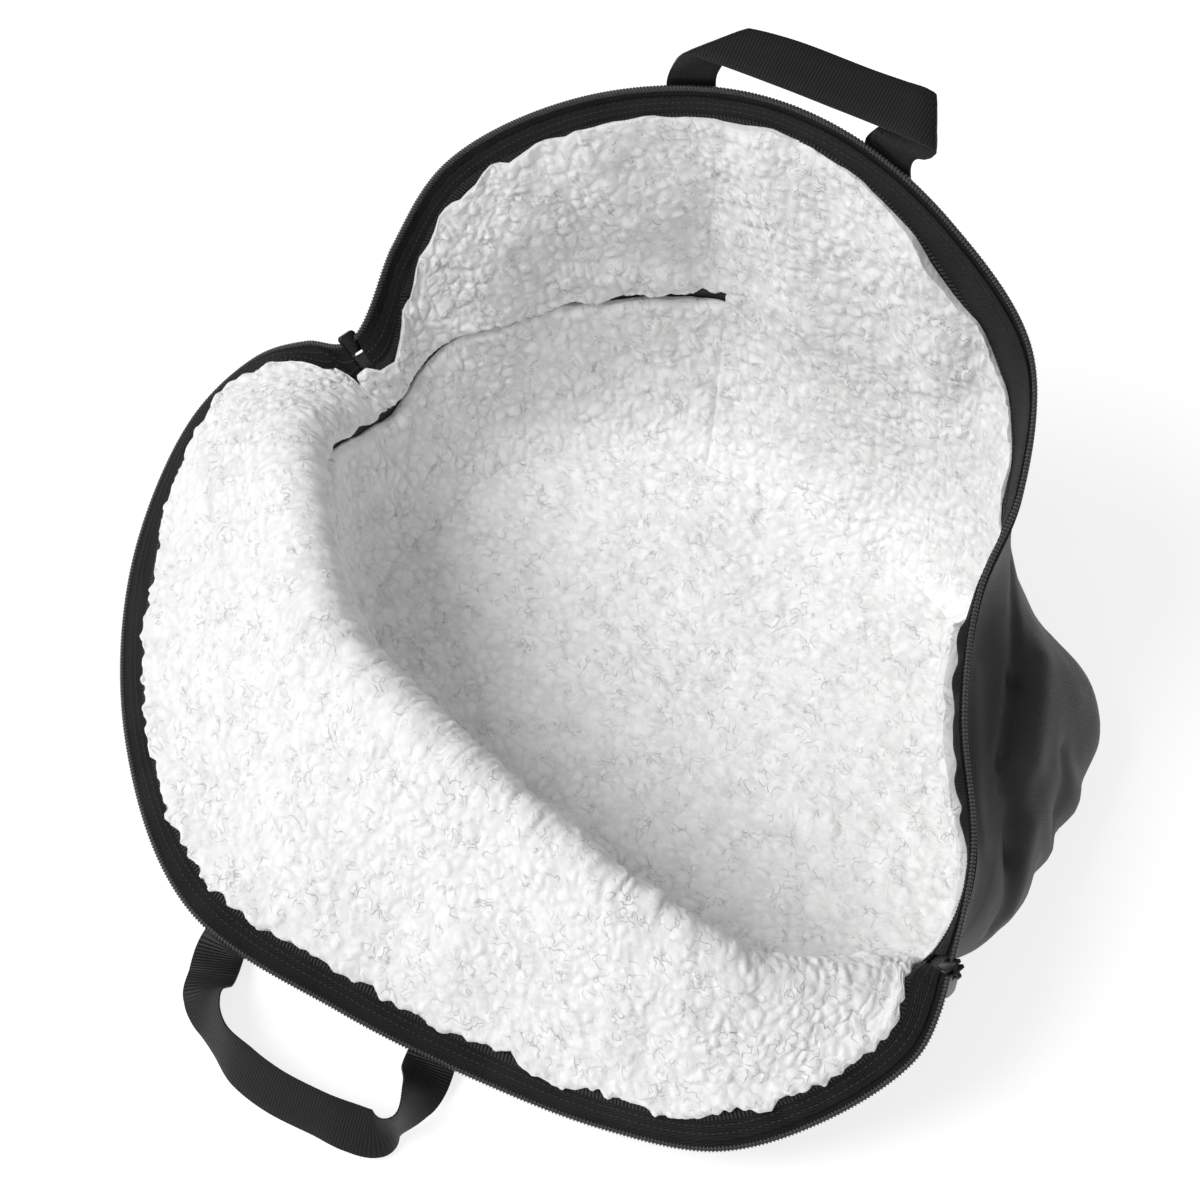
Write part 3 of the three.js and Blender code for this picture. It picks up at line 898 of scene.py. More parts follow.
    def seam(self, turns: np.ndarray) -> np.ndarray:
        """The length up the wall at the end walls' top seam.

        Args:
            turns: fractions of the way round.

        Returns:
            Lengths in millimetres.
        """
        curves = self.profiles(turns)
        rise = self.seam_ring.at(turns)[:, 2]
        parts = np.arange(0.0, 1.0, 0.0025)
        columns = np.arange(len(turns))[:, None]
        heights = curves.at(columns, np.broadcast_to(parts, (len(turns), len(parts))))[..., 2]
        above = heights >= rise[:, None]
        first = np.where(above.any(axis=1), parts[np.argmax(above, axis=1)], 1.0)
        return np.minimum(first, self.seam_limit) * curves.length

    def face(self, turns: np.ndarray, lengths: np.ndarray) -> tuple[np.ndarray, np.ndarray]:
        """Points and outward normals of the outer face.

        Args:
            turns: fractions of the way round, one a point.
            lengths: millimetres up the wall.

        Returns:
            The points and the normals.
        """
        unique, column = np.unique(np.round(turns, 9), return_inverse=True)
        near = {k: self.profiles(unique + k * self.step_round) for k in (-2, -1, 0, 1, 2)}
        part = lengths / near[0].length[column]

        def folded(k: int, up: np.ndarray) -> np.ndarray:
            """The face with its folds, k steps round."""
            across = near[k + 1].at(column, up) - near[k - 1].at(column, up)
            rising = near[k].at(column, np.minimum(up + self.step_up, 1.0))
            rising = rising - near[k].at(column, np.maximum(up - self.step_up, 0.0))
            depth = self.fold_depth(turns + k * self.step_round, up)
            return near[k].at(column, up) - unit(np.cross(across, rising)) * depth[:, None]

        high = np.minimum(part + self.step_up, 1.0)
        low = np.maximum(part - self.step_up, 0.0)
        normal = unit(np.cross(folded(1, part) - folded(-1, part), folded(0, high) - folded(0, low)))
        return folded(0, part), normal

    def ridges(self, points: np.ndarray, rows: Sequence[Sequence[float]]) -> np.ndarray:
        """How far a table of ridges and creases moves the wall.

        Args:
            points: places on the wall.
            rows: each ridge's two ends by angle and part of the way up, its half width and its depth inwards.

        Returns:
            Depths in millimetres.
        """
        depth = np.zeros(len(points))
        for from_at, from_part, to_at, to_part, wide, deep in rows:
            turns = self.turn_at(np.array([from_at, to_at], dtype=float))
            (start, end), _ = self.face(turns, self.lengths(turns) * np.array([from_part, to_part]))
            run = end - start
            along = np.clip((points - start) @ run / (run @ run), 0.0, 1.0)
            away = np.linalg.norm(points - start - along[:, None] * run, axis=1) / wide
            depth += deep * np.exp(-away**2)
        return depth

    def spaced(self, start: float, end: float, pitch: float) -> np.ndarray:
        """Places round the bag that are evenly spaced along crest and rim.

        Args:
            start: the first angle.
            end: the last angle, past 360 where the run crosses 0.
            pitch: millimetres between places.

        Returns:
            Fractions of the way round.
        """
        ends = [float(self.turn_at(each % 360.0)) + each // 360.0 for each in (start, end)]
        fine = np.linspace(ends[0], ends[1], 1200)
        steps = [np.linalg.norm(np.diff(self.rings[k].at(fine), axis=0), axis=1) for k in (3, 5)]
        run = np.concatenate([[0.0], np.cumsum(sum(steps) / 2.0)])
        count = max(int(round(run[-1] / pitch)), 2)
        return np.interp(np.linspace(0.0, run[-1], count + 1), run, fine)


# Meshes


def object_from(name: str, bm: bmesh.types.BMesh) -> bpy.types.Object:
    """Ends a bmesh as an object in the scene.

    Args:
        name: the object's name.
        bm: the mesh, which is freed.

    Returns:
        The object.
    """
    mesh = bpy.data.meshes.new(name)
    bm.to_mesh(mesh)
    bm.free()
    made = bpy.data.objects.new(name, mesh)
    bpy.context.scene.collection.objects.link(made)
    return made


def smooth_faces(made: bpy.types.Object) -> None:
    """Shades every face smooth.

    Args:
        made: the object.
    """
    mesh = made.data
    mesh.polygons.foreach_set("use_smooth", np.ones(len(mesh.polygons), dtype=bool))
    mesh.update()


def read_points(made: bpy.types.Object) -> np.ndarray:
    """The mesh's points, three to a row.

    Args:
        made: the object.

    Returns:
        The points as they are stored.
    """
    places = np.empty(len(made.data.vertices) * 3)
    made.data.vertices.foreach_get("co", places)
    return places.reshape(-1, 3)


def set_points(made: bpy.types.Object, places: np.ndarray) -> None:
    """Moves the mesh's points, given in millimetres."""
    made.data.vertices.foreach_set("co", (places * MM).ravel())
    made.data.update()


def set_pattern(made: bpy.types.Object, flat: np.ndarray) -> None:
    """Gives the mesh its flat pattern as UVs.

    Args:
        made: the object.
        flat: a place on the pattern for each point, in millimetres.
    """
    mesh = made.data
    layer = mesh.uv_layers.new(name="pattern")
    corners = np.empty(len(mesh.loops), dtype=np.int32)
    mesh.loops.foreach_get("vertex_index", corners)
    layer.data.foreach_set("uv", (flat[corners] * MM).ravel())


def flat_slab(
    columns: int,
    rows: int,
    covers: Optional[Callable[[float, float], bool]] = None,
    cuts: int = 0,
) -> bmesh.types.BMesh:
    """A closed slab in pattern space, with X and Y from 0 to 1 and Z from 0, inside, to 1, outside.

    Args:
        columns: cells along X.
        rows: cells along Y.
        covers: says which cells stay, by their middle.
        cuts: how often each cell of the inside face is cut.

    Returns:
        The slab.
    """
    bm = bmesh.new()
    bmesh.ops.create_grid(bm, x_segments=columns, y_segments=rows, size=0.5)
    bmesh.ops.translate(bm, vec=(0.5, 0.5, 0.0), verts=bm.verts)
    if covers is not None:
        middles = [(each, each.calc_center_median()) for each in bm.faces]
        spare = [each for each, middle in middles if not covers(middle.x, middle.y)]
        bmesh.ops.delete(bm, geom=spare, context="FACES")
    raised = bmesh.ops.extrude_face_region(bm, geom=bm.faces[:], use_keep_orig=True)
    tops = [each for each in raised["geom"] if isinstance(each, bmesh.types.BMVert)]
    bmesh.ops.translate(bm, vec=(0.0, 0.0, 1.0), verts=tops)
    bmesh.ops.recalc_face_normals(bm, faces=bm.faces)
    if cuts:
        inside = [each for each in bm.edges if max(corner.co.z for corner in each.verts) < 0.5]
        bmesh.ops.subdivide_edges(bm, edges=inside, cuts=cuts, use_grid_fill=True)
    bm.normal_update()
    for each in bm.edges:
        each.smooth = each.calc_face_angle(0.0) < math.radians(45.0)
    return bm


def repeated(name: str, shape: bmesh.types.BMesh, places: np.ndarray, axes: np.ndarray) -> bpy.types.Object:
    """One joined mesh of many copies of a small shape.

    Args:
        name: the object's name.
        shape: the small shape, in millimetres.
        places: where each copy goes.
        axes: each copy's three axes, as rows.

    Returns:
        The joined object.
    """
    shape.verts.index_update()
    points = np.array([each.co for each in shape.verts])
    faces = [[corner.index for corner in each.verts] for each in shape.faces]
    shape.free()
    spots = np.einsum("pk,nkd->npd", points, axes) + places[:, None, :]
    mesh = bpy.data.meshes.new(name)
    joined = [[corner + n * len(points) for corner in face] for n in range(len(places)) for face in faces]
    mesh.from_pydata((spots.reshape(-1, 3) * MM).tolist(), [], joined)
    made = bpy.data.objects.new(name, mesh)
    bpy.context.scene.collection.objects.link(made)
    smooth_faces(made)
    return made


def bead(length: float, width: float, height: float) -> bmesh.types.BMesh:
    """A small rounded bar along X, in millimetres.

    Args:
        length: its size along X.
        width: its size along Y.
        height: its size along Z.

    Returns:
        The bar.
    """
    bm = bmesh.new()
    bmesh.ops.create_uvsphere(bm, u_segments=6, v_segments=5, radius=0.5)
    bmesh.ops.scale(bm, vec=(height, width, length), verts=bm.verts)
    turn = Vector((0.0, 0.0, 1.0)).rotation_difference(Vector((1.0, 0.0, 0.0))).to_matrix()
    bmesh.ops.rotate(bm, matrix=turn, verts=bm.verts)
    return bm


def dress(
    made: bpy.types.Object,
    material: bpy.types.Material,
    nodes: Sequence[str] = (),
    body: Body = Body.BAG,
) -> bpy.types.Object:
    """Gives a piece its material and body, and hides the nodes that it stands for.

    Args:
        made: the piece.
        material: its material.
        nodes: the solids that it replaces.
        body: the body that it rides on.

    Returns:
        The piece.
    """
    made.data.materials.clear()
    made.data.materials.append(material)
    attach(made, body.value)
    if nodes:
        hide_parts(*nodes)
    LOG.info("%s: %d faces", made.name, len(made.data.polygons))
    return made


def cut_area(made: bpy.types.Object) -> float:
    """The area of one side of a piece on its flat pattern, in square metres.

    Args:
        made: the piece.

    Returns:
        The area.
    """
    mesh = made.data
    flat = np.empty(len(mesh.loops) * 2)
    mesh.uv_layers["pattern"].data.foreach_get("uv", flat)
    flat = flat.reshape(-1, 2)
    starts = np.empty(len(mesh.polygons), dtype=np.int32)
    counts = np.empty(len(mesh.polygons), dtype=np.int32)
    mesh.polygons.foreach_get("loop_start", starts)
    mesh.polygons.foreach_get("loop_total", counts)
    after = np.arange(len(flat)) + 1
    after[starts + counts - 1] = starts
    turned = flat[:, 0] * flat[after, 1] - flat[after, 0] * flat[:, 1]
    return float(np.abs(np.add.reduceat(turned, starts)).sum() / 4.0)


def declare_sheet(
    made: bpy.types.Object,
    width: float,
    length: float,
) -> None:
    """Says what a sheet was cut to.

    Args:
        made: the piece.
        width: the cut's width in millimetres.
        length: the cut's length in millimetres.
    """
    box = width * length * MM * MM
    area = min(cut_area(made), box)
    LOG.info("%s: cut %.0f by %.0f mm, %.4f square metres", made.name, width, length, area)
    size = (width * MM, length * MM)


# The wall's panels


class Panel(Enum):
    """The panels of the wall, by the angles between which they run."""

    FRONT = "front"
    BACK = "back"
    END_LEFT = "end_left"
    END_RIGHT = "end_right"


@dataclass
class PanelGrid:
    """A panel's grid: columns round the bag, and rows up to the end walls' seam and on to an edge."""

    form: BagForm
    panel: Panel
    pitch: float
    edge: Callable[[np.ndarray], np.ndarray]
    cuts: int = 0
    gape: Optional[Callable[[np.ndarray], np.ndarray]] = None
    dip: Optional[Callable[[np.ndarray], np.ndarray]] = None
    gape_below: float = 0.35
    seam_length: float = 108.0
    upper_length: float = 150.0
    breaks: dict[Panel, Sequence[float]] = field(
        default_factory=lambda: {
            Panel.FRONT: (180.0, 211.0, 328.0, 360.0),
            Panel.BACK: (0.0, 47.0, 128.0, 180.0),
            Panel.END_LEFT: (128.0, 211.0),
            Panel.END_RIGHT: (328.0, 407.0),
        }
    )

    def __post_init__(self) -> None:
        """Spaces the columns and rows."""
        stops = self.breaks[self.panel]
        runs = [self.form.spaced(a, b, self.pitch) for a, b in zip(stops, stops[1:])]
        self.lines = np.concatenate([runs[0]] + [each[1:] for each in runs[1:]])
        self.marks = np.cumsum([0] + [len(each) - 1 for each in runs])
        self.tall = self.panel in (Panel.FRONT, Panel.BACK)
        self.lower = int(round(self.seam_length / self.pitch))
        self.upper = int(round(self.upper_length / self.pitch)) if self.tall else 0

    def covers(self, x: float, y: float) -> bool:
        """Whether a cell belongs to the panel, by its middle.

        Args:
            x: the middle's place along the pattern.
            y: its place up the pattern.

        Returns:
            True where it stays.
        """
        if not self.tall or y * (self.lower + self.upper) > self.lower:
            return True
        column = x * (len(self.lines) - 1)
        return self.marks[1] < column < self.marks[2]

    def slab(self) -> bmesh.types.BMesh:
        """The panel's slab in pattern space."""
        return flat_slab(len(self.lines) - 1, self.lower + self.upper, self.covers, self.cuts)

    def turns(self, x: np.ndarray) -> np.ndarray:
        """Fractions of the way round, from pattern space."""
        return np.interp(x * (len(self.lines) - 1), np.arange(len(self.lines)), self.lines)

    def lengths(self, turns: np.ndarray, y: np.ndarray) -> np.ndarray:
        """Millimetres up the wall, from pattern space.

        Args:
            turns: fractions of the way round.
            y: places up the pattern, 0 to 1.

        Returns:
            Lengths up the wall.
        """
        unique, column = np.unique(turns, return_inverse=True)
        seam = self.form.seam(unique)
        if self.gape is not None:
            seam = seam + self.gape(unique) * (1.0 if self.tall else -self.gape_below)
        if self.dip is not None:
            seam = seam - self.dip(unique)
        seam = seam[column]
        row = y * (self.lower + self.upper)
        length = seam * np.minimum(row / self.lower, 1.0)
        if self.tall:
            edge = self.edge(unique)[column]
            length = length + (edge - seam) * np.clip((row - self.lower) / self.upper, 0.0, 1.0)
        return length

    def pattern(self, turns: np.ndarray, lengths: np.ndarray) -> np.ndarray:
        """Places on the flat pattern, in millimetres.

        Args:
            turns: fractions of the way round.
            lengths: millimetres up the wall.

        Returns:
            Two numbers a place.
        """
        fine = np.linspace(self.lines[0], self.lines[-1], 800)
        run = np.linalg.norm(np.diff(self.form.rings[3].at(fine), axis=0), axis=1)
        round_it = np.interp(turns, fine, np.concatenate([[0.0], np.cumsum(run)]))
        return np.stack([round_it, lengths], axis=1)


@dataclass
class Shell:
    """The black outer cloth: four wall panels and a base."""

    form: BagForm
    finishes: Finishes
    wall: float = 1.4
    drop: float = 7.2
    pitch: float = 3.4
    lap: float = 2.0
    lap_under: float = 0.4
    pucker: float = 1.3
    pucker_size: float = 34.0
    ripple: float = 0.5
    ripple_size: float = 9.0
    ripple_stretch: float = 2.0
    pucker_out: float = -0.5
    pucker_in: float = 2.0
    calm_below: float = 25.0
    calm_above: float = 12.0
    crease_rows: Sequence[Sequence[float]] = (
        (62, 0.62, 43, 0.645, 4, 2.2),
        (43, 0.645, 30, 0.63, 4, 3.0),
        (31, 0.62, 27, 0.6, 4, 2.6),
        (30, 0.58, 21, 0.5, 5, 3.2),
        (21, 0.5, 13, 0.4, 5, 2.4),
        (48, 0.56, 33, 0.53, 8, -3.0),
        (26, 0.44, 17, 0.36, 7, -2.8),
        (40, 0.78, 18, 0.74, 6, -1.8),
        (38, 0.4, 30, 0.26, 5, 2.4),
        (70, 0.35, 92, 0.55, 7, 3.0),
        (76, 0.62, 104, 0.7, 8, 2.6),
        (88, 0.3, 120, 0.36, 9, -2.4),
        (112, 0.3, 128, 0.62, 8, 3.0),
        (132, 0.2, 148, 0.44, 7, 2.6),
        (150, 0.25, 168, 0.6, 7, 3.0),
        (225, 0.1, 232, 0.5, 8, 3.0),
        (300, 0.12, 292, 0.5, 8, 3.0),
        (338, 0.3, 352, 0.6, 7, 3.0),
    )
    base_inset: float = 1.4
    base_cells: int = 50
    holds: dict[Panel, Hold] = field(
        default_factory=lambda: {
            Panel.FRONT: Hold.FOLDED,
            Panel.BACK: Hold.STRETCHED,
            Panel.END_LEFT: Hold.STRETCHED,
            Panel.END_RIGHT: Hold.GATHERED,
        }
    )

    def edge(self, turns: np.ndarray) -> np.ndarray:
        """Where the cloth stops under the zip."""
        return self.form.dropped(turns, self.drop)

    def build(self) -> None:
        """Makes the panels and the base."""
        self.build_base()
        for panel in Panel:
            self.build_panel(panel)

    def build_panel(self, panel: Panel) -> None:
        """Makes one wall panel, with its puckers, and tucked in at its seams.

        Args:
            panel: which panel.
        """
        grid = PanelGrid(self.form, panel, self.pitch, self.edge)
        made = object_from(f"cloth_{panel.value}", grid.slab())
        flat = read_points(made)
        turns = grid.turns(flat[:, 0])
        lapped = (flat[:, 1] > 0.999) & (not grid.tall)
        lengths = grid.lengths(turns, flat[:, 1]) + np.where(lapped, self.lap, 0.0)
        points, normals = self.form.face(turns, lengths)
        pucker = self.pucker * Grain.smooth(points / self.pucker_size, Salt.PUCKER)
        ripple_step = self.ripple_size * np.array([1.0, 1.0, self.ripple_stretch])
        pucker += self.ripple * Grain.smooth(points / ripple_step, Salt.RIPPLE)
        calm = self.calm(turns, lengths, points)
        depth = (np.clip(pucker, self.pucker_out, self.pucker_in) + self.creases(points)) * calm
        depth += self.wall * (1.0 - flat[:, 2]) + np.where(lapped, self.lap_under, 0.0)
        set_points(made, points - normals * depth[:, None])
        flat = grid.pattern(turns, lengths)
        set_pattern(made, flat)
        smooth_faces(made)
        dress(made, self.finishes.shell, [f"shell_{panel.value}"])
        width, length = np.ptp(flat, axis=0).tolist()
        declare_sheet(made, width, length)

    def calm(self, turns: np.ndarray, lengths: np.ndarray, points: np.ndarray) -> np.ndarray:
        """How free the cloth is to crease: 0 at the zip and on the floor, 1 between them."""
        below = np.clip((self.form.lengths(turns) - lengths - self.drop) / self.calm_below, 0.0, 1.0)
        return below * np.clip(points[:, 2] / self.calm_above, 0.0, 1.0)

    def creases(self, points: np.ndarray) -> np.ndarray:
        """How far the cloth's own creases push it in."""
        return self.form.ridges(points, self.crease_rows)

    def build_base(self) -> None:
        """Makes the flat base."""
        made = base_disc(self.form, "cloth_base", self.base_cells, self.base_inset, 0)
        flat = read_points(made)
        flat[:, 2] = np.where(flat[:, 2] > 0.5, 0.0, self.wall)
        set_points(made, flat)
        set_pattern(made, flat[:, :2])
        smooth_faces(made)
        dress(made, self.finishes.shell, ["shell_base"])
        width, length = np.ptp(flat[:, :2], axis=0).tolist()
        declare_sheet(made, width, length)


def base_disc(form: BagForm, name: str, cells: int, inset: float, cuts: int) -> bpy.types.Object:
    """A slab over the bag's base outline, in millimetres, with Z still 0 for its top and 1 for its underside.

    Args:
        form: the bag's form.
        name: the object's name.
        cells: cells each way.
        inset: how far it stays inside the outline.
        cuts: how often each cell of the top is cut.

    Returns:
        The object, whose points are still to be set in metres.
    """
    made = object_from(name, flat_slab(cells, cells, None, cuts))
    flat = read_points(made)
    across, up = flat[:, 0] * 2.0 - 1.0, flat[:, 1] * 2.0 - 1.0
    x = across * np.sqrt(1.0 - up**2 / 2.0)
    y = up * np.sqrt(1.0 - across**2 / 2.0)
    fine = form.rings[0].at(np.linspace(0.0, 1.0, 2001))
    order = np.argsort(np.mod(np.arctan2(fine[:, 1], fine[:, 0]), 2.0 * np.pi))
    angles = np.mod(np.arctan2(fine[:, 1], fine[:, 0]), 2.0 * np.pi)[order]
    reach = np.hypot(fine[:, 0], fine[:, 1])[order] - inset
    out = np.interp(np.mod(np.arctan2(y, x), 2.0 * np.pi), angles, reach, period=2.0 * np.pi)
    places = np.stack([x * out, y * out, flat[:, 2]], axis=1)
    made.data.vertices.foreach_set("co", places.ravel())
    return made


@dataclass
class Lining:
    """The fleece: tufted panels and base, thinner at their seams and ragged along the zip's facing."""

    form: BagForm
    finishes: Finishes
    shell: Shell
    out: float = 1.75
    pile: float = 4.0
    pitch: float = 5.15
    cuts: int = 3
    tuft_size: float = 6.2
    tuft_rise: float = 2.2
    tuft_bend: float = 2.2
    upright: float = 0.65
    curl_size: float = 3.2
    curl_rise: float = 0.6
    group_size: float = 12.0
    group_rise: float = 0.9
    swell_size: float = 42.0
    swell_rise: float = 2.4
    split_size: float = 17.0
    split_depth: float = 0.9
    split_width: float = 0.09
    split_patch: float = 26.0
    bend_size: float = 7.5
    curl_bend: float = 0.4
    crack_width: float = 0.36
    dome_reach: float = 0.95
    deep_size: float = 9.0
    wave_size: float = 14.0
    rag_size: float = 4.2
    gape_size: float = 8.0
    fill: float = 0.3
    edge_over: float = 2.7
    edge_reach: float = 10.0
    lift_reach: float = 26.0
    open_thin: float = 1.0
    gape_round: float = 4.0
    sewn_thin: float = 3.5
    sewn_round: float = 3.0
    base_thin: float = 1.6
    base_round: float = 6.0
    border_tufts: float = 0.7
    base_inset: float = 0.0
    base_cells: int = 50
    edge_names: Sequence[str] = ("at", "drop", "lift", "wave", "rag", "round")
    edge_rows: Sequence[Sequence[float]] = (
        (0, 25, 0, 3, 1.5, 5), (6, 22, 0, 3, 1.5, 5), (12, 16, 3, 4, 1.5, 5), (18, 12, 4, 6, 1.2, 5),
        (34, 13, 5, 7, 1.2, 5), (42, 15, 4, 6, 1.0, 5), (47, 32, 1, 6, 0.8, 8), (53, 54, 0, 8, 0.8, 11),
        (62, 57, 0, 9, 0.8, 11), (76, 49, 0, 8, 0.8, 11), (90, 36, 0, 6, 0.8, 11), (102, 26, 0, 4, 0.8, 11),
        (115, 20, 0, 4, 0.8, 11),
        (150, 18, 0, 4, 0.8, 11), (162, 15, 0, 4, 0.8, 10), (180, 17, 0, 3, 1.5, 5), (195, 23, 0, 3, 3.2, 4),
        (212, 24, 0, 3, 3.2, 4), (228, 20, 0, 3, 3.2, 4), (245, 18, 0, 3, 3.2, 4), (345, 18, 0, 3, 3.2, 4),
        (352, 20, 0, 3, 3.0, 4), (360, 25, 0, 3, 1.5, 5),
    )
    fold_rows: Sequence[Sequence[float]] = (
        (147, 0.8, 142, 0.66, 17, 6.5),
        (150, 0.51, 137, 0.46, 12, 3.5),
        (122, 0.86, 114, 0.5, 20, 6.5),
        (96, 0.84, 86, 0.5, 20, 5.5),
        (164, 0.72, 160, 0.5, 16, 4.0),
        (220, 0.72, 262, 0.78, 16, 3.0),
        (285, 0.8, 318, 0.72, 16, 3.0),
    )
    dip_rows: Sequence[Sequence[float]] = ((128, 0), (138, 7), (150, 11), (162, 9), (176, 3), (184, 0))
    gape_rows: Sequence[Sequence[float]] = (
        (126, 0), (128, 6.4), (136, 5.4), (146, 3.4), (156, 0.6), (168, 0.8), (178, 3.4), (200, 3.6),
        (208, 1.6), (216, 0),
    )

    def angles(self, turns: np.ndarray) -> np.ndarray:
        """The sections' angles at fractions of the way round."""
        marks = np.arange(len(self.form.angles)) / len(self.form.sections)
        return np.interp(np.mod(turns, 1.0), marks, self.form.angles)

    def along_rows(self, turns: np.ndarray, rows: Sequence[Sequence[float]], column: int = 1) -> np.ndarray:
        """A column of a table by angle, at places round the bag."""
        table = np.array(rows, dtype=float)
        return np.interp(self.angles(turns), table[:, 0], table[:, column])

    def edge_values(self, turns: np.ndarray, name: str) -> np.ndarray:
        """A column of the edge table at places round the bag."""
        return self.along_rows(turns, self.edge_rows, self.edge_names.index(name))

    def edge(self, turns: np.ndarray) -> np.ndarray:
        """The ragged edge along the zip's facing.

        Args:
            turns: fractions of the way round.

        Returns:
            Lengths up the wall.
        """
        rim = self.form.rings[-1].at(turns)
        drop = self.edge_values(turns, "drop")
        rag = self.edge_values(turns, "rag")
        wave = self.edge_values(turns, "wave") * Grain.smooth(rim / self.wave_size, Salt.EDGE_WAVE)
        ragged = rag * Grain.smooth(rim / self.rag_size, Salt.EDGE_RAG)
        return self.form.dropped(turns, drop + wave + ragged)

    def gape(self, turns: np.ndarray) -> np.ndarray:
        """How far the left end wall's top seam stands open.

        Args:
            turns: fractions of the way round.

        Returns:
            Widths in millimetres.
        """
        wide = self.along_rows(turns, self.gape_rows)
        lumps = Grain.smooth(self.form.rings[3].at(turns) / self.gape_size, Salt.GAPE)
        return wide * np.clip(0.75 + 0.8 * lumps, 0.1, 1.3)

    def dip(self, turns: np.ndarray) -> np.ndarray:
        """How far the left end wall's top seam sags."""
        return self.along_rows(turns, self.dip_rows)

    def tufts(self, places: np.ndarray) -> tuple[np.ndarray, np.ndarray]:
        """The pile's height, and the painted shade mask for how deep between tufts each place is.

        Args:
            places: points on the wall, in millimetres.

        Returns:
            Heights in millimetres, and the painted shade mask: 0 on a tuft to 1 between tufts and in
            partings.
        """
        sway = [Grain.smooth(places / self.bend_size, Salt.BEND + k) for k in range(3)]
        bend = np.stack(sway, axis=1) * self.tuft_bend
        bent = (places + bend) * np.array([1.0, 1.0, self.upright])
        first, second, own = Grain.cells(bent / self.tuft_size, Salt.TUFT)
        crack = np.clip((second - first) / self.crack_width, 0.0, 1.0)
        crack = crack * crack * (3.0 - 2.0 * crack)
        dome = np.sqrt(np.clip(1.0 - (first / self.dome_reach) ** 2, 0.0, 1.0))
        small, _, _ = Grain.cells((places + bend * self.curl_bend) / self.curl_size, Salt.CURL)
        deep = np.clip(0.62 + 0.4 * Grain.smooth(places / self.deep_size, Salt.DEEP), 0.2, 1.0)
        parting = np.abs(Grain.smooth((places + bend) / self.split_size, Salt.SPLIT))
        split = 1.0 - np.clip(parting / self.split_width, 0.0, 1.0)
        split *= np.clip(0.4 + 1.6 * Grain.smooth(places / self.split_patch, Salt.SPLIT_PATCH), 0.0, 1.0)
        height = self.tuft_rise * (0.45 + 0.55 * own) * dome * (1.0 - deep * (1.0 - crack))
        height += self.curl_rise * (1.0 - small) - self.split_depth * split
        height += self.group_rise * Grain.smooth(places / self.group_size, Salt.GROUP)
        height += self.swell_rise * Grain.smooth(places / self.swell_size, Salt.SWELL)
        # The second value is the mask of painted shade: greyer in deep cracks between tufts and in partings.
        return height, np.maximum((1.0 - crack) * deep, 0.8 * split)

    def finish_piece(self, made: bpy.types.Object, between: np.ndarray, node: str) -> None:
        """Keeps the depth between tufts as the mask for painted shade, and dresses a piece of lining.

        Args:
            made: the piece.
            between: the painted shade mask, 0 on a tuft to 1 between tufts.
            node: the solid it replaces.
        """
        # The mask is stored for the fleece material's painted shade.
        layer = made.data.attributes.new("between", "FLOAT", "POINT")
        layer.data.foreach_set("value", between.astype(np.float32))
        smooth_faces(made)
        dress(made, self.finishes.fleece, [node])

    @staticmethod
    def nearest(points: np.ndarray, marks: np.ndarray) -> tuple[np.ndarray, np.ndarray]:
        """The nearest mark to each point.

        Args:
            points: the points.
            marks: the places looked for.

        Returns:
            Each point's distance to its nearest mark, and that mark's number.
        """
        tree = KDTree(len(marks))
        for index, mark in enumerate(marks):
            tree.insert(mark, index)
        tree.balance()
        found = [tree.find(point) for point in points]
        return np.array([each[2] for each in found]), np.array([each[1] for each in found])

    def thickness(
        self,
        away: np.ndarray,
        thin: Union[float, np.ndarray],
        reach: Union[float, np.ndarray],
        height: np.ndarray,
    ) -> np.ndarray:
        """The pile's thickness near a border.

        Args:
            away: distances from the border.
            thin: the thickness at the border.
            reach: how far in the pile comes to its full thickness.
            height: the tufts' heights.

        Returns:
            Thicknesses in millimetres.
        """
        full = np.sin(np.clip(away / reach, 0.0, 1.0) * np.pi / 2.0)
        rise = self.border_tufts + (1.0 - self.border_tufts) * full
        return thin + (self.pile - thin) * full + height * rise

    def build(self) -> None:
        """Makes the panels and the base."""
        for panel in Panel:
            self.build_panel(panel)
        self.build_base()

    def build_panel(self, panel: Panel) -> None:
        """Makes one panel of fleece.

        Args:
            panel: which panel.
        """
        grid = PanelGrid(self.form, panel, self.pitch, self.edge, self.cuts, self.gape, self.dip)
        bm = grid.slab()
        border = self.border(bm)
        made = object_from(f"fleece_{panel.value}", bm)
        flat = read_points(made)
        turns = grid.turns(flat[:, 0])
        lengths = grid.lengths(turns, flat[:, 1])
        points, normals = self.form.face(turns, lengths)
        inside = flat[:, 2] < 0.5
        height, between = self.tufts(points)
        height = height + self.form.ridges(points, self.fold_rows)
        unique, column = np.unique(turns, return_inverse=True)
        gap = self.edge(unique)[column] - lengths
        at_seam = np.abs(flat[:, 1] - grid.lower / (grid.lower + grid.upper)) < 0.001
        at_edge = grid.tall & (gap < 0.5)
        gaping = at_seam & (self.gape(unique)[column] > 0.5)
        thin = np.where(at_edge | gaping, self.open_thin, self.sewn_thin)
        reach = np.where(gaping, self.gape_round, self.sewn_round)
        reach = np.where(at_edge, self.edge_values(turns, "round"), reach)
        marks = np.flatnonzero(border)
        away, nearest = self.nearest(points, points[marks])
        lift = self.edge_values(turns, "lift") * np.clip(1.0 - gap / self.lift_reach, 0.0, 1.0)
        over = self.edge_over * np.clip(1.0 - gap / self.edge_reach, 0.0, 1.0)
        thick = self.thickness(away, thin[marks][nearest], reach[marks][nearest], height + lift)
        pushed = np.maximum(self.shell.creases(points), 0.0) * self.shell.calm(turns, lengths, points)
        depth = self.out + pushed + over + np.where(inside, thick, 0.0)
        set_points(made, points - normals * depth[:, None])
        set_pattern(made, grid.pattern(turns, lengths))
        # The outer face and the cut edges get the full painted shade.
        self.finish_piece(made, np.where(inside, between, 1.0), f"lining_{panel.value}")

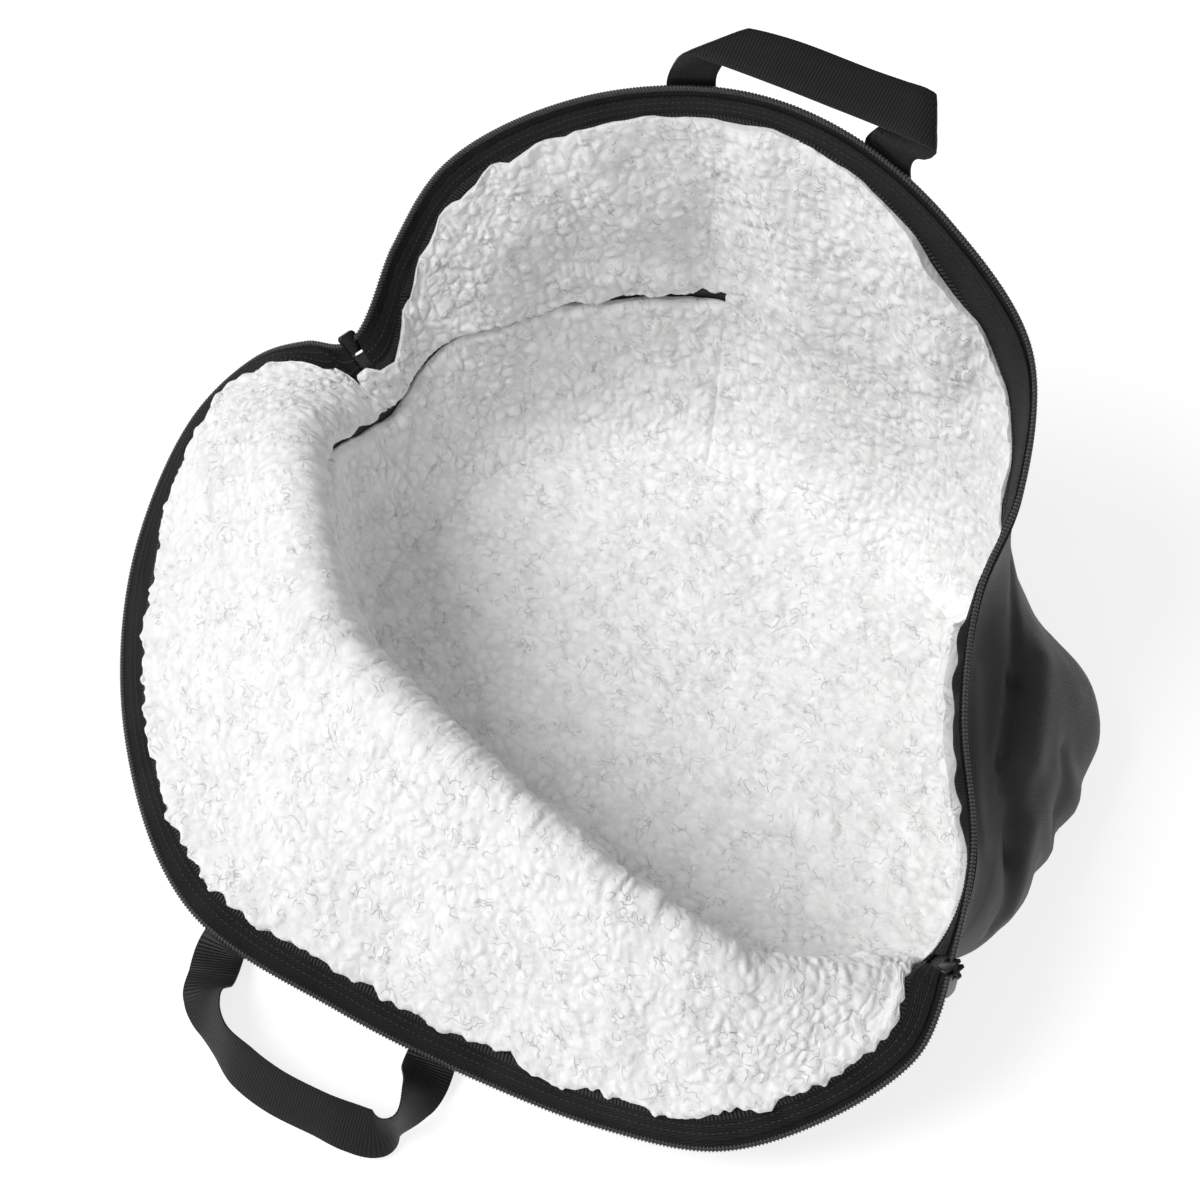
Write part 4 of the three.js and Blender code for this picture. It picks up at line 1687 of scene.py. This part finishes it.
    @staticmethod
    def border(bm: bmesh.types.BMesh) -> np.ndarray:
        """Marks the points along the border of a flat slab's inside face.

        Args:
            bm: the slab.

        Returns:
            True for each point on the border.
        """
        bm.verts.index_update()
        marked = np.zeros(len(bm.verts), dtype=bool)
        for each in bm.faces:
            heights = [corner.co.z for corner in each.verts]
            if max(heights) - min(heights) > 0.5:
                for corner in each.verts:
                    marked[corner.index] |= corner.co.z < 0.5
        return marked

    def build_base(self) -> None:
        """Makes the fleece on the base."""
        made = base_disc(self.form, "fleece_base", self.base_cells, self.base_inset, self.cuts)
        flat = read_points(made)
        inside = flat[:, 2] < 0.5
        places = np.where([True, True, False], flat, 0.0)
        height, between = self.tufts(places)
        away, _ = self.nearest(places, self.form.rings[0].at(np.linspace(0.0, 1.0, 1500)))
        top = self.out + self.thickness(away, self.base_thin, self.base_round, height)
        places[:, 2] = np.where(inside, top, self.out)
        set_points(made, places)
        set_pattern(made, places[:, :2])
        # The underside and the cut edges get the full painted shade.
        self.finish_piece(made, np.where(inside, between, 1.0), "lining_base")


@dataclass
class ZipHalf:
    """One half of the zip: its facing, tape, coil and stitches, from one end to the other."""

    form: BagForm
    finishes: Finishes
    lining: Lining
    side: Side
    pitch: float = 2.4
    coil_depth: float = 2.15
    tape_out: float = 1.75
    tape_wall: float = 0.8
    facing_out: float = 2.9
    facing_wall: float = 1.0
    facing_under: float = 7.0
    facing_top: float = 5.0
    tape_reach: float = 13.0
    tape_top: float = 0.5
    end_gap: float = 4.5
    tooth_pitch: float = 1.8
    tooth_lean: float = 0.22
    tooth: Sequence[float] = (3.7, 1.0, 2.9)
    core_lap: float = 2.2
    core_size: Sequence[float] = (2.5, 2.2)
    stitch: Sequence[float] = (2.3, 0.7, 0.6)
    stitch_proud: float = 0.05
    hem_stitch: Sequence[float] = (5.2, 1.7, 1.0)
    hem_proud: float = 0.25
    core_pitch: float = 3.5
    stitch_pitch: float = 3.2
    stitch_drops: Sequence[float] = (8.5, 12.5)
    hem_pitch: float = 1.9
    crimp: float = 0.25
    crimp_size: float = 11.0
    scallop_size: float = 9.0
    facing_cells: int = 10
    tape_cells: int = 6
    hem_rows: Sequence[Sequence[float]] = ((0, 4), (14, 4), (22, 0.5), (344, 0.5), (352, 2.5), (360, 4))
    puff_rows: Sequence[Sequence[float]] = ((8, 0), (16, 3), (30, 3.6), (46, 3.4), (56, 0))
    ends: dict[Side, tuple[float, float]] = field(
        default_factory=lambda: {Side.FRONT: (180.0, 360.0), Side.BACK: (0.0, 180.0)}
    )

    def __post_init__(self) -> None:
        """Finds where the half starts and stops."""
        start, end = self.ends[self.side]
        fine = self.form.spaced(start, end, 0.8)
        points, _ = self.form.face(fine, self.form.lengths(fine))
        run = np.concatenate([[0.0], np.cumsum(np.linalg.norm(np.diff(points, axis=0), axis=1))])
        self.fine = fine
        self.run = run
        self.span = (self.end_gap, run[-1] - self.end_gap)

    def turns_at(self, distance: np.ndarray) -> np.ndarray:
        """Fractions of the way round at distances along the rim."""
        return np.interp(distance, self.run, self.fine)

    def build(self) -> None:
        """Makes the pieces of the half."""
        name = self.side.value
        facing = self.band(
            f"facing_band_{name}",
            self.facing_foot,
            self.facing_top,
            self.facing_out,
            self.facing_wall,
            self.facing_cells,
            1.0,
        )
        dress(facing, self.finishes.tape, [f"facing_{name}"])
        sewn = [self.stitches(), self.hem()]
        for each in sewn:
            dress(each, self.finishes.thread)
        self.declare_band(facing, self.facing_foot, self.facing_top)
        tape = self.band(
            f"tape_band_{name}",
            self.tape_foot,
            self.tape_top,
            self.tape_out,
            self.tape_wall,
            self.tape_cells,
        )
        dress(tape, self.finishes.tape, [f"zip_tape_{name}"])
        self.declare_band(tape, self.tape_foot, self.tape_top)
        dress(self.coil(), self.finishes.coil, [f"zip_coil_{name}"])
        dress(self.core(), self.finishes.thread)

    def declare_band(
        self,
        made: bpy.types.Object,
        foot: Callable[[np.ndarray], np.ndarray],
        top: float,
    ) -> None:
        """Says what a band was cut to.

        Args:
            made: the band.
            foot: gives the drop of its lower edge.
            top: the drop of its upper edge.
        """
        turns = self.turns_at(np.linspace(self.span[0], self.span[1], 400))
        width = self.form.dropped(turns, top) - self.form.dropped(turns, foot(turns))
        run = self.span[1] - self.span[0]
        declare_sheet(made, float(width.max()), run)

    def facing_foot(self, turns: np.ndarray) -> np.ndarray:
        """The drop of the facing's lower edge, under the fleece."""
        return self.lining.edge_values(turns, "drop") + self.facing_under

    def tape_foot(self, turns: np.ndarray) -> np.ndarray:
        """The drop of the tape's lower edge."""
        return np.full(len(turns), self.tape_reach)

    def band(
        self,
        name: str,
        foot: Callable[[np.ndarray], np.ndarray],
        top: float,
        out: float,
        wall: float,
        rows: int,
        puff: float = 0.0,
    ) -> bpy.types.Object:
        """A band of tape below the rim.

        Args:
            name: the piece's name.
            foot: gives the drop of its lower edge.
            top: the drop of its upper edge.
            out: the depth of its outer face.
            wall: its thickness.
            rows: cells across it.
            puff: 1 where it bulges inwards in scallops, and 0 where it lies flat.

        Returns:
            The object.
        """
        start, end = self.span
        columns = int((end - start) / self.pitch)
        made = object_from(name, flat_slab(columns, rows))
        flat = read_points(made)
        distance = start + (end - start) * flat[:, 0]
        turns = self.turns_at(distance)
        unique, column = np.unique(turns, return_inverse=True)
        low = self.form.dropped(unique, foot(unique))[column]
        high = self.form.dropped(unique, top)[column]
        lengths = low + (high - low) * flat[:, 1]
        points, normals = self.form.face(turns, lengths)
        crimp = self.crimp * Grain.smooth(points / self.crimp_size, Salt.CRIMP) * np.sin(np.pi * flat[:, 1])
        depth = out + wall * (1.0 - flat[:, 2]) + crimp + puff * self.scallop(turns, flat[:, 1])
        set_points(made, points - normals * depth[:, None])
        set_pattern(made, np.stack([distance, lengths], axis=1))
        smooth_faces(made)
        return made

    def scallop(self, turns: np.ndarray, part: np.ndarray) -> np.ndarray:
        """How far the facing bulges inwards at places along and across it.

        Args:
            turns: fractions of the way round.
            part: places across it, 0 to 1.

        Returns:
            Depths in millimetres.
        """
        rim = self.form.rings[-1].at(turns)
        lumps = np.clip(0.45 + 0.9 * Grain.smooth(rim / self.scallop_size, Salt.SCALLOP), 0.0, 1.0)
        return self.lining.along_rows(turns, self.puff_rows) * lumps * np.sin(np.pi * part**1.6)

    def along(
        self,
        pitch: float,
        drop: Callable[[np.ndarray], np.ndarray],
        depth: float,
    ) -> tuple[np.ndarray, np.ndarray]:
        """Places and axes in a row along the rim.

        Args:
            pitch: millimetres between places.
            drop: gives how far below the rim the row runs.
            depth: how far in from the outer face.

        Returns:
            The places, and axes whose rows run along, up the wall and out of it.
        """
        start, end = self.span
        distance = np.arange(start, end, pitch)
        turns = self.turns_at(distance)
        lengths = self.form.dropped(turns, drop(turns))
        points, normals = self.form.face(turns, lengths)
        places = points - normals * depth
        ahead = unit(np.gradient(places, axis=0))
        up = unit(np.cross(normals, ahead))
        out = np.cross(ahead, up)
        return places, np.stack([ahead, up, out], axis=1)

    def coil(self) -> bpy.types.Object:
        """The row of coil teeth along the rim.

        Returns:
            The joined teeth.
        """
        places, axes = self.along(self.tooth_pitch, np.zeros_like, self.coil_depth)
        lean = unit(axes[:, 1] + self.tooth_lean * axes[:, 0])
        turned = np.stack([lean, np.cross(axes[:, 2], lean), axes[:, 2]], axis=1)
        return repeated(f"coil_teeth_{self.side.value}", bead(*self.tooth), places, turned)

    def core(self) -> bpy.types.Object:
        """The cord that the coil is wound on.

        Returns:
            The joined cord.
        """
        places, axes = self.along(self.core_pitch, np.zeros_like, self.coil_depth)
        shape = bead(self.core_pitch * self.core_lap, *self.core_size)
        return repeated(f"coil_cord_{self.side.value}", shape, places, axes)

    def stitches(self) -> bpy.types.Object:
        """Two rows of stitches through the facing.

        Returns:
            The joined stitches.
        """
        depth = self.facing_out + self.facing_wall + self.stitch_proud
        rows = [
            self.along(self.stitch_pitch, lambda turns, low=low: np.full(len(turns), low), depth)
            for low in self.stitch_drops
        ]
        places = np.concatenate([row[0] for row in rows])
        axes = np.concatenate([row[1] for row in rows])
        return repeated(f"facing_stitches_{self.side.value}", bead(*self.stitch), places, axes)

    def hem_drop(self, turns: np.ndarray) -> np.ndarray:
        """The drop of the overlocked edge, just above the fleece's."""
        return self.lining.edge_values(turns, "drop") - self.lining.along_rows(turns, self.hem_rows)

    def hem(self) -> bpy.types.Object:
        """The overlocked edge of the facing, under the fleece's ragged edge.

        Returns:
            The joined stitches.
        """
        depth = self.facing_out + self.facing_wall + self.hem_proud
        places, axes = self.along(self.hem_pitch, self.hem_drop, depth)
        turned = np.stack([axes[:, 1], -axes[:, 0], axes[:, 2]], axis=1)
        return repeated(f"facing_overlock_{self.side.value}", bead(*self.hem_stitch), places, turned)


@dataclass
class Handle:
    """A webbing handle, sewn to the outside at two places with a free run between them."""

    form: BagForm
    finishes: Finishes
    side: Side
    sewn_from: float
    sewn_to: float
    gap: float
    rows: Sequence[Sequence[float]]
    width: float = 25.0
    wall: float = 1.7
    rib: float = 1.5
    rib_rise: float = 0.17
    sewn_drops: Sequence[float] = (44.0, 30.0, 15.0, -4.0)
    cells_across: int = 8
    cells_per_rib: int = 4
    stitch_pitch: float = 3.0
    stitch_inset: float = 3.5
    stitch_length: float = 36.0
    stitch: Sequence[float] = (2.4, 0.7, 0.5)
    stitch_proud: float = 0.05
    edge_thin: float = 0.45
    edge_power: int = 8
    step_round: float = 0.0015
    step_along: float = 0.0006
    row_names: Sequence[str] = ("x", "y", "z", "heading", "climb", "across")
    slanted: bool = False

    def sewn(self, angle: float, sign: float) -> list[tuple[np.ndarray, np.ndarray]]:
        """Stations on the wall at a sewn end.

        Args:
            angle: where the end is sewn.
            sign: which way the width points.

        Returns:
            The middle of the webbing and its width's direction at each drop.
        """
        stations = []
        turn = float(self.form.turn_at(angle))
        length = float(self.form.lengths(np.array([turn]))[0])
        depth = -(self.gap + self.wall / 2.0)
        for drop in self.sewn_drops:
            lengths = np.full(2, length - max(drop, 0.0))
            points, normals = self.form.face(np.array([turn, turn + self.step_round]), lengths)
            points = points - normals * depth
            top, _ = self.form.face(np.full(2, turn), np.array([length - 1.0, length]))
            middle = points[0] + unit(top[1] - top[0]) * max(-drop, 0.0)
            stations.append((middle, unit(points[1] - points[0]) * sign))
        return stations

    def stations(self) -> tuple[np.ndarray, np.ndarray]:
        """Every station from one sewn end to the other.

        Returns:
            The middles, and the widths' directions.
        """
        free = []
        for row in self.rows:
            station = dict(zip(self.row_names, row))
            turn, lift = math.radians(station["heading"]), math.radians(station["climb"])
            flat = math.cos(lift)
            across = np.array([flat * math.cos(turn), flat * math.sin(turn), math.sin(lift)])
            middle = np.array([station["x"], station["y"], station["z"]], dtype=float)
            free.append((middle, across * station["across"] / self.width))
        every = self.sewn(self.sewn_from, 1.0) + free + self.sewn(self.sewn_to, -1.0)[::-1]
        return np.array([each[0] for each in every]), np.array([each[1] for each in every])

    def frames(self, parts: np.ndarray) -> tuple[np.ndarray, np.ndarray, np.ndarray, np.ndarray]:
        """Where the webbing lies and how it is turned, with a slant kept where it folds.

        Args:
            parts: parts of the run, 0 at one sewn end to 1 at the other.

        Returns:
            The middles, the ways along, the widths and the faces at those parts.
        """
        middles, widths = self.stations()
        line, wide = open_cubics(middles), open_cubics(widths)

        def at(cubics: np.ndarray, part: np.ndarray) -> np.ndarray:
            """Points on an open curve.

            Args:
                cubics: the curve's cubics.
                part: parts of it.

            Returns:
                The points.
            """
            place = np.clip(part, 0.0, 1.0) * len(cubics)
            piece = np.minimum(place.astype(int), len(cubics) - 1)
            return along_cubics(cubics[piece], place - piece)

        middle = at(line, parts)
        along = unit(at(line, parts + self.step_along) - at(line, parts - self.step_along))
        across = at(wide, parts)
        if not self.slanted:
            across = unit(across - along * np.sum(across * along, axis=1, keepdims=True))
        return middle, along, across, unit(np.cross(along, across))

    def build(self) -> None:
        """Makes the webbing and its stitching."""
        fine = np.linspace(0.0, 1.0, 1600)
        middle, _, _, _ = self.frames(fine)
        run = np.concatenate([[0.0], np.cumsum(np.linalg.norm(np.diff(middle, axis=0), axis=1))])
        self.fine, self.run = fine, run
        columns = int(run[-1] / self.rib * self.cells_per_rib)
        made = object_from(f"webbing_{self.side.value}", flat_slab(columns, self.cells_across))
        flat = read_points(made)
        distance = flat[:, 0] * run[-1]
        middle, along, across, face = self.frames(np.interp(distance, run, fine))
        offset = (flat[:, 1] - 0.5) * self.width
        cut_along = distance + offset * np.sum(across * along, axis=1)
        cut_across = offset * np.linalg.norm(np.cross(across, along), axis=1)
        rib = self.rib_rise * np.abs(np.sin(np.pi * cut_along / self.rib))
        thin = 1.0 - self.edge_thin * np.abs(flat[:, 1] * 2.0 - 1.0) ** self.edge_power
        rise = np.where(flat[:, 2] > 0.5, 1.0, -1.0) * (self.wall / 2.0 - self.rib_rise + rib) * thin
        set_points(made, middle + across * offset[:, None] + face * rise[:, None])
        set_pattern(made, np.stack([cut_along, cut_across], axis=1))
        smooth_faces(made)
        dress(made, self.finishes.webbing, [f"handle_{self.side.value}"])
        sewn = dress(self.stitching(), self.finishes.thread)
        declare_sheet(made, self.width, float(run[-1]))

    def stitching(self) -> bpy.types.Object:
        """A sewn box with a cross at each end of the webbing.

        Returns:
            The joined stitches.
        """
        half = self.width / 2.0 - self.stitch_inset
        low, high = self.stitch_inset, self.stitch_length
        corners = [(low, -half), (high, -half), (high, half), (low, half), (low, -half), (high, half)]
        lines = list(zip(corners, corners[1:])) + [((high, -half), (low, half))]
        spots, ways = [], []
        for (a, b), (c, d) in lines:
            count = max(int(math.hypot(c - a, d - b) / self.stitch_pitch), 1)
            for k in range(count):
                part = (k + 0.5) / count
                spots.append((a + (c - a) * part, b + (d - b) * part))
                ways.append((c - a, d - b))
        spots, ways = np.array(spots), unit(np.array(ways, dtype=float))
        places, axes = [], []
        for flip in (False, True):
            distance = self.run[-1] - spots[:, 0] if flip else spots[:, 0]
            middle, along, across, face = self.frames(np.interp(distance, self.run, self.fine))
            way = unit(along * ways[:, :1] * (-1.0 if flip else 1.0) + across * ways[:, 1:])
            for side in (1.0, -1.0):
                out = face * side
                places.append(middle + across * spots[:, 1:] + out * (self.wall / 2.0 + self.stitch_proud))
                axes.append(np.stack([way, np.cross(out, way), out], axis=1))
        name = f"webbing_stitches_{self.side.value}"
        return repeated(name, bead(*self.stitch), np.concatenate(places), np.concatenate(axes))


@dataclass
class Hardware:
    """The zip's sliders and pulls, with their edges broken."""

    finishes: Finishes
    bevel: float = 0.22
    weld: float = 0.01
    flat_angle: float = 2.0
    sharp_angle: float = 0.4
    bodies: dict[str, Body] = field(
        default_factory=lambda: {
            "slider_left": Body.BAG,
            "slider_right": Body.BAG,
            "pull_left": Body.PULL_LEFT,
            "pull_right": Body.PULL_RIGHT,
        }
    )

    def build(self) -> None:
        """Makes each piece from its solid."""
        for node, body in self.bodies.items():
            bm = bmesh.new()
            bm.from_mesh(bpy.data.objects[node].data)
            bmesh.ops.remove_doubles(bm, verts=bm.verts, dist=self.weld * MM)
            limit = math.radians(self.flat_angle)
            bmesh.ops.dissolve_limit(bm, angle_limit=limit, verts=bm.verts, edges=bm.edges)
            paired = [each for each in bm.edges if len(each.link_faces) == 2]
            sharp = [each for each in paired if each.calc_face_angle() > self.sharp_angle]
            bmesh.ops.bevel(
                bm,
                geom=sharp,
                offset=self.bevel * MM,
                offset_type="OFFSET",
                segments=2,
                profile=0.5,
                affect="EDGES",
                clamp_overlap=True,
                material=-1,
            )
            made = object_from(f"metal_{node}", bm)
            smooth_faces(made)
            dress(made, self.finishes.metal, [node], body)


# Studio


@dataclass
class Studio:
    """A pale floor, soft light and a camera at the photograph's angle."""

    finishes: Finishes
    target: Sequence[float] = (-0.041, 0.003, 0.080)
    azimuth: float = 50.0
    elevation: float = 60.0
    distance: float = 1.5
    lens: float = 91.5
    floor_size: float = 12.0
    floor_cells: int = 8
    floor_drop: float = 0.0006
    sky: float = 0.27

    def build(self) -> None:
        """Makes the floor, the light and the camera."""
        self.build_floor()
        self.build_light()
        self.build_camera()

    def build_floor(self) -> None:
        """Makes the floor."""
        bm = bmesh.new()
        cells = self.floor_cells
        bmesh.ops.create_grid(bm, x_segments=cells, y_segments=cells, size=self.floor_size / 2.0)
        bmesh.ops.translate(bm, vec=(0.0, 0.0, -self.floor_drop), verts=bm.verts)
        floor = object_from("studio_floor", bm)
        floor.data.materials.append(self.finishes.floor)

    def build_light(self) -> None:
        """Makes the sky and the soft lamps."""
        world = bpy.data.worlds.new("studio_sky")
        world.use_nodes = True
        background = world.node_tree.nodes["Background"]
        background.inputs["Color"].default_value = (1.0, 1.0, 1.0, 1.0)
        background.inputs["Strength"].default_value = self.sky
        bpy.context.scene.world = world
        self.sun("key", (-0.5, -0.75, 1.0), 2.2, 34.0)
        self.sun("fill", (0.9, -0.3, 0.8), 0.22, 60.0)
        bpy.context.scene.view_settings.view_transform = "Standard"

    def sun(self, name: str, place: Sequence[float], power: float, spread: float) -> None:
        """Adds a wide, soft light from far off.

        Args:
            name: the light's name.
            place: the way that it comes from.
            power: its strength.
            spread: how wide it is, in degrees.
        """
        data = bpy.data.lights.new(name, "SUN")
        data.energy = power
        data.angle = math.radians(spread)
        light = bpy.data.objects.new(name, data)
        light.location = Vector(place) * 3.0
        light.rotation_euler = (-Vector(place)).to_track_quat("-Z", "Y").to_euler()
        bpy.context.scene.collection.objects.link(light)

    def build_camera(self) -> None:
        """Makes the camera."""
        turn, lift = math.radians(self.azimuth), math.radians(self.elevation)
        back = Vector((math.sin(turn) * math.cos(lift), -math.cos(turn) * math.cos(lift), math.sin(lift)))
        data = bpy.data.cameras.new("camera")
        data.sensor_width = 36.0
        data.lens = self.lens
        camera = bpy.data.objects.new("camera", data)
        camera.location = Vector(self.target) + back * self.distance
        camera.rotation_euler = (-back).to_track_quat("-Z", "Y").to_euler()
        bpy.context.scene.collection.objects.link(camera)
        bpy.context.scene.camera = camera


FRONT_RUN = (
    (-34, -248, 6, 9, 14, 25), (-26, -258, 10, 3, 32, 25), (-15, -264, 13, 19, 46, 25),
    (-1, -267, 13, 34, 57, 25), (16, -267, 13, 86, 53, 25), (35, -263, 13, 107, 52, 25),
    (57, -254, 13, 106, 53, 25), (73, -246, 12, 112, 45, 25), (83, -239, 12, 109, 46, 25),
    (87, -230, 14, 100, 75, 25), (82, -214, 13, 208, 58, 25),
)
BACK_RUN = (
    (-137, 145, 292, 230, -16, 27), (-134.5, 147.5, 301, 247, -10, 30), (-132, 149, 305, 250, -9, 30),
    (-128, 151, 305.6, 254, -10, 29), (-113, 158.5, 306, 270, -11, 26), (-97, 166, 306, 284, -11, 25),
    (-71, 177, 306, 284, -11, 25), (-52, 184.5, 307, 296, -11, 25.5), (-38, 190, 307.5, 312, -10, 28),
    (-33, 192, 306, 317, -9, 28.5), (-34.5, 190.5, 302, 322, -8, 28.5), (-40, 185, 295, 345, -4, 26.5),
)


def main() -> None:
    """Builds every sub-assembly in order."""
    logging.basicConfig(level=logging.INFO, format="%(name)s: %(message)s")
    finishes = Finishes()
    form = BagForm()
    Studio(finishes).build()
    shell = Shell(form, finishes)
    shell.build()
    lining = Lining(form, finishes, shell)
    lining.build()
    for side in Side:
        ZipHalf(form, finishes, lining, side).build()
    Handle(form, finishes, Side.FRONT, 260.0, 289.5, 1.55, FRONT_RUN).build()
    Handle(form, finishes, Side.BACK, 134.5, 104.5, 1.35, BACK_RUN, slanted=True).build()
    Hardware(finishes).build()


if __name__ == "__main__":
    main()
